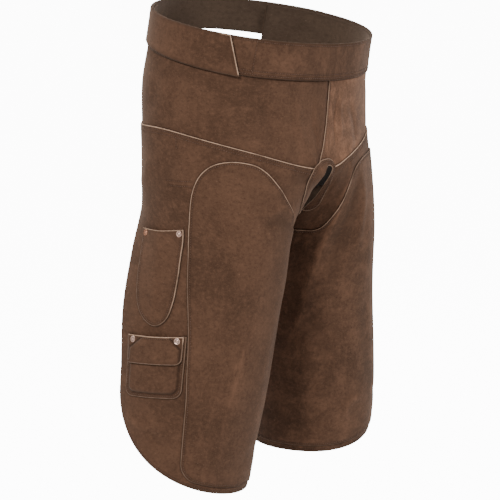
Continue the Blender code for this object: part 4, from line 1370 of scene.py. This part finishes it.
class APRON_OT_wear_patches(bpy.types.Operator):
    """Makes the arched wear patches on the fronts of the legs"""

    bl_idname = "apron.wear_patches"
    bl_label = "Wear Patches"

    def execute(self, context):
        spacing = context.scene.apron_sizes.cloth_spacing
        for side, word in ((-1, "right"), (1, "left")):
            outline = patch_outline(side)
            rows = [row_all_round(outline, ROW_NEAR)]
            make_cloth(
                f"wear_patch_{word}", outline, evenly(PATCH_LIFT), SUEDE,
                spacing=spacing, shift=21.7 + 4.1 * side, rows=rows, bare=arch_light,
                face=mottled() if side > 0 else None,
            )
        return {"FINISHED"}


class APRON_OT_crotch_patch(bpy.types.Operator):
    """Makes the horseshoe round the slot between the legs"""

    bl_idname = "apron.crotch_patch"
    bl_label = "Crotch Patch"

    def execute(self, context):
        outline = crotch_outline()
        outer = curve_through(HORSESHOE, 8)
        rows = [row_inside(outer, distance, outline) for distance in PATCH_ROWS]
        make_cloth(
            "crotch_patch", outline, evenly(PATCH_LIFT), SUEDE,
            spacing=0.0025, shift=31.9, rows=rows, bare=evenly(0.5),
        )
        return {"FINISHED"}


class APRON_OT_pockets(bpy.types.Operator):
    """Makes the knife pocket, and the pressed tool pocket with its flap, on the right thigh"""

    bl_idname = "apron.pockets"
    bl_label = "Pockets"

    def execute(self, context):
        knife_rows = [row_inside(knife_outline(), ROW_NEAR, knife_outline())]
        front, rear = knife_outline()[0], knife_outline()[-1]
        mouth = ((front[0] + rear[0]) / 2, (front[1] + rear[1]) / 2 - KNIFE_MOUTH)
        make_cloth(
            "knife_pocket", knife_outline() + [mouth], knife_lift, SUEDE,
            spacing=0.003, shift=41.3, rows=knife_rows, bare=knife_light,
        )
        flange = tool_outline(0.0, TOOL_BOTTOM, TOOL_CORNER, TOOL_MOUTH)
        flap = tool_outline(FLAP_INSET, TOOL_TOP - FLAP_HEIGHT, FLAP_CORNER)
        flap_line = flap[:26]
        sides = tool_outline(TOOL_ROW, TOOL_BOTTOM + TOOL_ROW, TOOL_CORNER * 0.9)
        row = flat_points([sides[-1]] + sides[:27])
        make_cloth(
            "tool_pocket", flange, tool_lift, SUEDE,
            spacing=SMALL_PIECE_SPACING, shift=43.9, rows=[row], bare=evenly(0.35),
            covers=(flap_line, tool_face()),
        )
        top = np.array([(-g * GIRTH_LENGTH, tool_level(g, TOOL_TOP - FLAP_ROW)) for g in (0.775, 0.955)])
        make_cloth(
            "tool_pocket_flap", flap, flap_lift, SUEDE,
            spacing=SMALL_PIECE_SPACING, shift=47.1, rows=[top], bare=flap_light, covers=(tool_face(),),
        )
        return {"FINISHED"}


class APRON_OT_rivets(bpy.types.Operator):
    """Sets the copper rivet caps with Geometry Nodes: a rim, a dish and a small boss"""

    bl_idname = "apron.rivets"
    bl_label = "Rivets"

    def execute(self, context):
        points, normals = [], []
        tool = [(girth, tool_level(girth, TOOL_TOP) - RIVET_BELOW_TOP) for girth in TOOL_RIVET_GIRTHS]
        lifts = (knife_lift, knife_lift, flap_lift, flap_lift)
        for (girth, level), press in zip((*KNIFE_RIVETS, *tool), lifts):
            places = np.array([-girth]), np.array([level])
            lift = press(*places)
            place, normal = surface(*places, lift + drape(*places) + SUEDE + 0.0001)
            points.append(place[0].tolist())
            normals.extend(normal[0].tolist())
        source = bpy.data.meshes.new("rivet_places")
        source.from_pydata(points, [], [])
        up = source.attributes.new("up", "FLOAT_VECTOR", "POINT")
        up.data.foreach_set("vector", normals)
        tone = source.attributes.new("tone", "FLOAT", "POINT")
        tone.data.foreach_set("value", RIVET_TONES)
        cap = rivet_cap()
        mesh = plain_mesh("rivet_caps", source, rivet_tree(), {"Cap": cap, "Material": copper_material()})
        bpy.data.objects.remove(cap)
        mesh.materials.clear()
        add_piece(mesh, [copper_material()], RIVET_NODES)
        return {"FINISHED"}


def rivet_cap():
    """The lathed cap that is set at each place."""
    profile = (
        (0.0047, -0.0008), (0.00485, 0.0003), (0.0046, 0.0009), (0.0041, 0.00125), (0.0035, 0.0011),
        (0.0029, 0.0006), (0.0022, 0.0006), (0.0016, 0.0013), (0.0010, 0.0017), (0.0, 0.0018),
    )
    mesh = bmesh.new()
    verts = [mesh.verts.new((radius, 0.0, height)) for radius, height in profile]
    edges = [mesh.edges.new(pair) for pair in zip(verts, verts[1:])]
    bmesh.ops.spin(
        mesh, geom=verts + edges, cent=(0, 0, 0), axis=(0, 0, 1), angle=2 * math.pi, steps=28, use_merge=True
    )
    bmesh.ops.remove_doubles(mesh, verts=mesh.verts[:], dist=1e-6)
    rim = [edge for edge in mesh.edges if edge.is_boundary]
    bmesh.ops.contextual_create(mesh, geom=rim)
    bmesh.ops.recalc_face_normals(mesh, faces=mesh.faces[:])
    data = bpy.data.meshes.new("rivet_cap")
    mesh.to_mesh(data)
    mesh.free()
    # dish marks the hollow ring round the boss, where the cap is painted dark as shade
    dish = data.attributes.new("dish", "FLOAT", "POINT")
    radii = [math.hypot(vertex.co.x, vertex.co.y) for vertex in data.vertices]
    dish.data.foreach_set("value", [max(0.0, 1 - abs(radius - 0.0026) / 0.0009) for radius in radii])
    data.shade_smooth()
    cap = bpy.data.objects.new("rivet_cap", data)
    bpy.context.scene.collection.objects.link(cap)
    return cap


def rivet_tree():
    """Geometry Nodes: a cap at each point, standing on the cloth."""
    tree = bpy.data.node_groups.new("Rivets", "GeometryNodeTree")
    for name, kind, way in (
        ("Geometry", "NodeSocketGeometry", "INPUT"),
        ("Cap", "NodeSocketObject", "INPUT"),
        ("Material", "NodeSocketMaterial", "INPUT"),
        ("Geometry", "NodeSocketGeometry", "OUTPUT"),
    ):
        tree.interface.new_socket(name, in_out=way, socket_type=kind)
    nodes, link = tree.nodes, tree.links.new
    entry, leave = nodes.new("NodeGroupInput"), nodes.new("NodeGroupOutput")
    cap = nodes.new("GeometryNodeObjectInfo")
    up = nodes.new("GeometryNodeInputNamedAttribute")
    up.data_type = "FLOAT_VECTOR"
    up.inputs["Name"].default_value = "up"
    stand = nodes.new("FunctionNodeAlignRotationToVector")
    stand.axis = "Z"
    place = nodes.new("GeometryNodeInstanceOnPoints")
    realize = nodes.new("GeometryNodeRealizeInstances")
    finish = nodes.new("GeometryNodeSetMaterial")
    link(entry.outputs["Geometry"], place.inputs["Points"])
    link(entry.outputs["Cap"], cap.inputs["Object"])
    link(cap.outputs["Geometry"], place.inputs["Instance"])
    link(up.outputs["Attribute"], stand.inputs["Vector"])
    link(stand.outputs["Rotation"], place.inputs["Rotation"])
    link(place.outputs["Instances"], realize.inputs["Geometry"])
    link(realize.outputs["Geometry"], finish.inputs["Geometry"])
    link(entry.outputs["Material"], finish.inputs["Material"])
    link(finish.outputs["Geometry"], leave.inputs["Geometry"])
    return tree


class APRON_OT_thigh_straps(bpy.types.Operator):
    """Makes the webbing straps that go round behind the thighs"""

    bl_idname = "apron.thigh_straps"
    bl_label = "Thigh Straps"

    def execute(self, context):
        for side, word in ((-1, "right"), (1, "left")):
            mesh = thigh_strap_mesh(f"thigh_strap_{word}_tape", side)
            piece = add_piece(mesh, [webbing_material()], (f"thigh_strap_{word}",))
        return {"FINISHED"}


def thigh_strap_path():
    """Points of the strap's lower and upper edges on the left side."""
    outer_girth, outer_level = THIGH_STRAP_OUTER
    inner_girth, inner_level = THIGH_STRAP_INNER
    sewn = LEG_LIFT - GAP - THIGH_STRAP_WALL
    half = THIGH_STRAP_HEIGHT / 2

    def on_panel(girth, level, share):
        lift = sewn - THIGH_STRAP_SLACK * float(smooth(share * 1.4 - 0.2))
        girths = np.array([girth, girth])
        levels = np.array([level - half, level + half])
        place, _ = surface(girths, levels, lift + drape(girths, levels))
        return place

    outer_part = [
        on_panel(
            outer_girth + (THIGH_STRAP_OUTER_END - outer_girth) * share,
            outer_level + (THIGH_STRAP_REAR - outer_level) * share,
            share,
        )
        for share in spaced(0.0, 1.0, 24)
    ]
    inner_part = [
        on_panel(inner_girth + (THIGH_STRAP_INNER_END - inner_girth) * share, inner_level, share)
        for share in spaced(1.0, 0.0, 10)
    ]
    start, end = outer_part[-1], inner_part[0]
    leave = start - outer_part[-4]
    leave = leave / np.linalg.norm(leave, axis=1)[:, None] + np.array(THIGH_STRAP_LEAVES)
    leave = leave / np.linalg.norm(leave, axis=1)[:, None] * THIGH_STRAP_ROUND
    arrive = inner_part[3] - end
    arrive = arrive / np.linalg.norm(arrive, axis=1)[:, None] + np.array(THIGH_STRAP_ARRIVES)
    arrive = arrive / np.linalg.norm(arrive, axis=1)[:, None] * THIGH_STRAP_ROUND
    back = []
    for t in spaced(0.0, 1.0, 42)[1:-1]:
        hermite = start * (1 + 2 * t) * (1 - t) ** 2 + leave * t * (1 - t) ** 2
        back.append(hermite + end * t * t * (3 - 2 * t) - arrive * t * t * (1 - t))
    return np.array(outer_part + back + inner_part)


def thigh_strap_mesh(name, side):
    """Flat webbing with rounded selvedges along its path, mapped by length and width."""
    path = thigh_strap_path()
    path[..., 0] *= side
    low, high = path[:, 0], path[:, 1]
    middle = (low + high) / 2
    along = np.gradient(middle, axis=0)
    normal = np.cross(along, high - low) * side
    normal /= np.linalg.norm(normal, axis=1)[:, None]
    across = spaced(0.0, 1.0, 8)
    length = np.concatenate([[0.0], np.cumsum(np.linalg.norm(np.diff(middle, axis=0), axis=1))])
    section = []
    for share in across:
        thick = THIGH_STRAP_WALL * (0.55 + 0.45 * math.sin(math.pi * share) ** 0.35)
        section.append((share, 0.5 * (THIGH_STRAP_WALL + thick)))
    for share in reversed(across):
        thick = THIGH_STRAP_WALL * (0.55 + 0.45 * math.sin(math.pi * share) ** 0.35)
        section.append((share, 0.5 * (THIGH_STRAP_WALL - thick)))
    mesh = bmesh.new()
    layer = mesh.loops.layers.uv.new("pattern")
    rings = []
    for index in range(len(path)):
        ring = []
        for share, out in section:
            place = low[index] + (high[index] - low[index]) * share + normal[index] * out
            ring.append(mesh.verts.new(place))
        rings.append(ring)
    count = len(section)
    for index in range(len(path) - 1):
        for step in range(count):
            after = (step + 1) % count
            face = mesh.faces.new(
                (rings[index][step], rings[index][after], rings[index + 1][after], rings[index + 1][step])
            )
            for loop, (ring, place) in zip(
                face.loops, ((index, step), (index, after), (index + 1, after), (index + 1, step))
            ):
                loop[layer].uv = (length[ring], section[place][0] * THIGH_STRAP_HEIGHT)
    mesh.faces.new(rings[0])
    mesh.faces.new(rings[-1][::-1])
    bmesh.ops.recalc_face_normals(mesh, faces=mesh.faces[:])
    data = bpy.data.meshes.new(name)
    mesh.to_mesh(data)
    mesh.free()
    data.shade_smooth()
    return data


# The photograph's view: how far round, how high, how far off, and what the frame's middle looks at
CAMERA_AZIMUTH = math.radians(-45)
CAMERA_ELEVATION = math.radians(9.5)
CAMERA_DISTANCE = 2.3
CAMERA_LENS = 106.56
CAMERA_TARGET = (-0.0174 * math.cos(CAMERA_AZIMUTH), -0.0174 * math.sin(CAMERA_AZIMUTH), -0.3275)
FLOOR_HEIGHT = -0.95
FLOOR_HALF = 30.0

# Area lights: name, place, size in metres and power in watts
LIGHTS = (
    ("key", (-2.6, -0.9, 1.7), 0.7, 75),
    ("side", (1.6, -2.4, 1.7), 0.6, 60),
    ("rim", (2.4, 0.2, 0.5), 0.6, 18),
    ("top", (0.1, 0.6, 1.8), 0.8, 30),
)
LIGHTS_AIM = Vector((0.0, 0.0, -0.3))


class APRON_OT_stage(bpy.types.Operator):
    """Makes the pale floor and backdrop, the soft lights and the camera"""

    bl_idname = "apron.stage"
    bl_label = "Stage"

    def execute(self, context):
        scene = context.scene
        floor_mesh = bpy.data.meshes.new("floor")
        corners = [(-1, -1), (1, -1), (1, 1), (-1, 1)]
        points = [(x * FLOOR_HALF, y * FLOOR_HALF, FLOOR_HEIGHT) for x, y in corners]
        floor_mesh.from_pydata(points, [], [(0, 1, 2, 3)])
        floor = bpy.data.objects.new("floor", floor_mesh)
        scene.collection.objects.link(floor)
        floor_mesh.materials.append(pale_floor())
        scene.world = white_studio()
        for light in LIGHTS:
            add_light(*light)
        camera_data = bpy.data.cameras.new("camera")
        camera_data.lens = CAMERA_LENS
        camera_data.sensor_width = 36.0
        camera = bpy.data.objects.new("camera", camera_data)
        scene.collection.objects.link(camera)
        direction = Vector(
            (
                math.sin(CAMERA_AZIMUTH) * math.cos(CAMERA_ELEVATION),
                -math.cos(CAMERA_AZIMUTH) * math.cos(CAMERA_ELEVATION),
                math.sin(CAMERA_ELEVATION),
            )
        )
        camera.location = Vector(CAMERA_TARGET) + direction * CAMERA_DISTANCE
        camera.rotation_euler = direction.to_track_quat("Z", "Y").to_euler()
        scene.camera = camera
        return {"FINISHED"}


def seen_and_cast(tree, seen, cast):
    """A strength that is one number where the camera sees the stage and another where it lights the apron."""
    path = tree.nodes.new("ShaderNodeLightPath")
    mix = tree.nodes.new("ShaderNodeMix")
    mix.inputs["A"].default_value = cast
    mix.inputs["B"].default_value = seen
    tree.links.new(path.outputs["Is Camera Ray"], mix.inputs["Factor"])
    return mix.outputs["Result"]


def pale_floor():
    material, tree, shader = shader_tree("pale_floor")
    noise = tree.nodes.new("ShaderNodeTexNoise")
    noise.inputs["Scale"].default_value = 3.0
    where = tree.nodes.new("ShaderNodeTexCoord")
    tree.links.new(where.outputs["Object"], noise.inputs["Vector"])
    colour = mixed(tree, noise.outputs["Fac"], (0.80, 0.80, 0.80), (0.84, 0.84, 0.84))
    tree.links.new(colour, shader.inputs["Base Color"])
    shader.inputs["Roughness"].default_value = 0.9
    shader.inputs["Emission Color"].default_value = (1.0, 1.0, 1.0, 1.0)
    tree.links.new(seen_and_cast(tree, 12.0, 0.03), shader.inputs["Emission Strength"])
    return material


def white_studio():
    world = bpy.data.worlds.new("white_studio")
    world.use_nodes = True
    background = world.node_tree.nodes["Background"]
    background.inputs["Color"].default_value = (1.0, 1.0, 1.0, 1.0)
    strength = seen_and_cast(world.node_tree, 12.0, 0.12)
    world.node_tree.links.new(strength, background.inputs["Strength"])
    return world


def add_light(name, place, size, power):
    data = bpy.data.lights.new(name, "AREA")
    data.size = size
    data.energy = power
    light = bpy.data.objects.new(name, data)
    bpy.context.scene.collection.objects.link(light)
    light.location = place
    towards = Vector(place) - LIGHTS_AIM
    light.rotation_euler = towards.to_track_quat("Z", "Y").to_euler()
    return light


class APRON_PT_panel(bpy.types.Panel):
    """Lists what makes the apron"""

    bl_idname = "APRON_PT_panel"
    bl_label = "Farrier Apron"
    bl_space_type = "VIEW_3D"
    bl_region_type = "UI"
    bl_category = "Apron"

    def draw(self, context):
        sizes, colours = context.scene.apron_sizes, context.scene.apron_colours
        for name in ("stitch_pitch", "stitch_length", "thread_radius", "cloth_spacing"):
            self.layout.prop(sizes, name)
        for name in ("suede", "reverse", "cut_edge", "thread", "rivet", "webbing"):
            self.layout.prop(colours, name)
        for operator in OPERATORS:
            self.layout.operator(operator.bl_idname)


OPERATORS = (
    APRON_OT_stage,
    APRON_OT_yokes,
    APRON_OT_waist,
    APRON_OT_legs,
    APRON_OT_wear_patches,
    APRON_OT_crotch_patch,
    APRON_OT_pockets,
    APRON_OT_rivets,
    APRON_OT_thigh_straps,
)
CLASSES = (ApronSizes, ApronColours, *OPERATORS, APRON_PT_panel)


def register():
    for item in CLASSES:
        bpy.utils.register_class(item)
    bpy.types.Scene.apron_sizes = bpy.props.PointerProperty(type=ApronSizes)
    bpy.types.Scene.apron_colours = bpy.props.PointerProperty(type=ApronColours)


def unregister():
    del bpy.types.Scene.apron_colours
    del bpy.types.Scene.apron_sizes
    for item in reversed(CLASSES):
        bpy.utils.unregister_class(item)


def main():
    register()
    for operator in OPERATORS:
        group, name = operator.bl_idname.split(".")
        getattr(getattr(bpy.ops, group), name)()


if __name__ == "__main__":
    main()
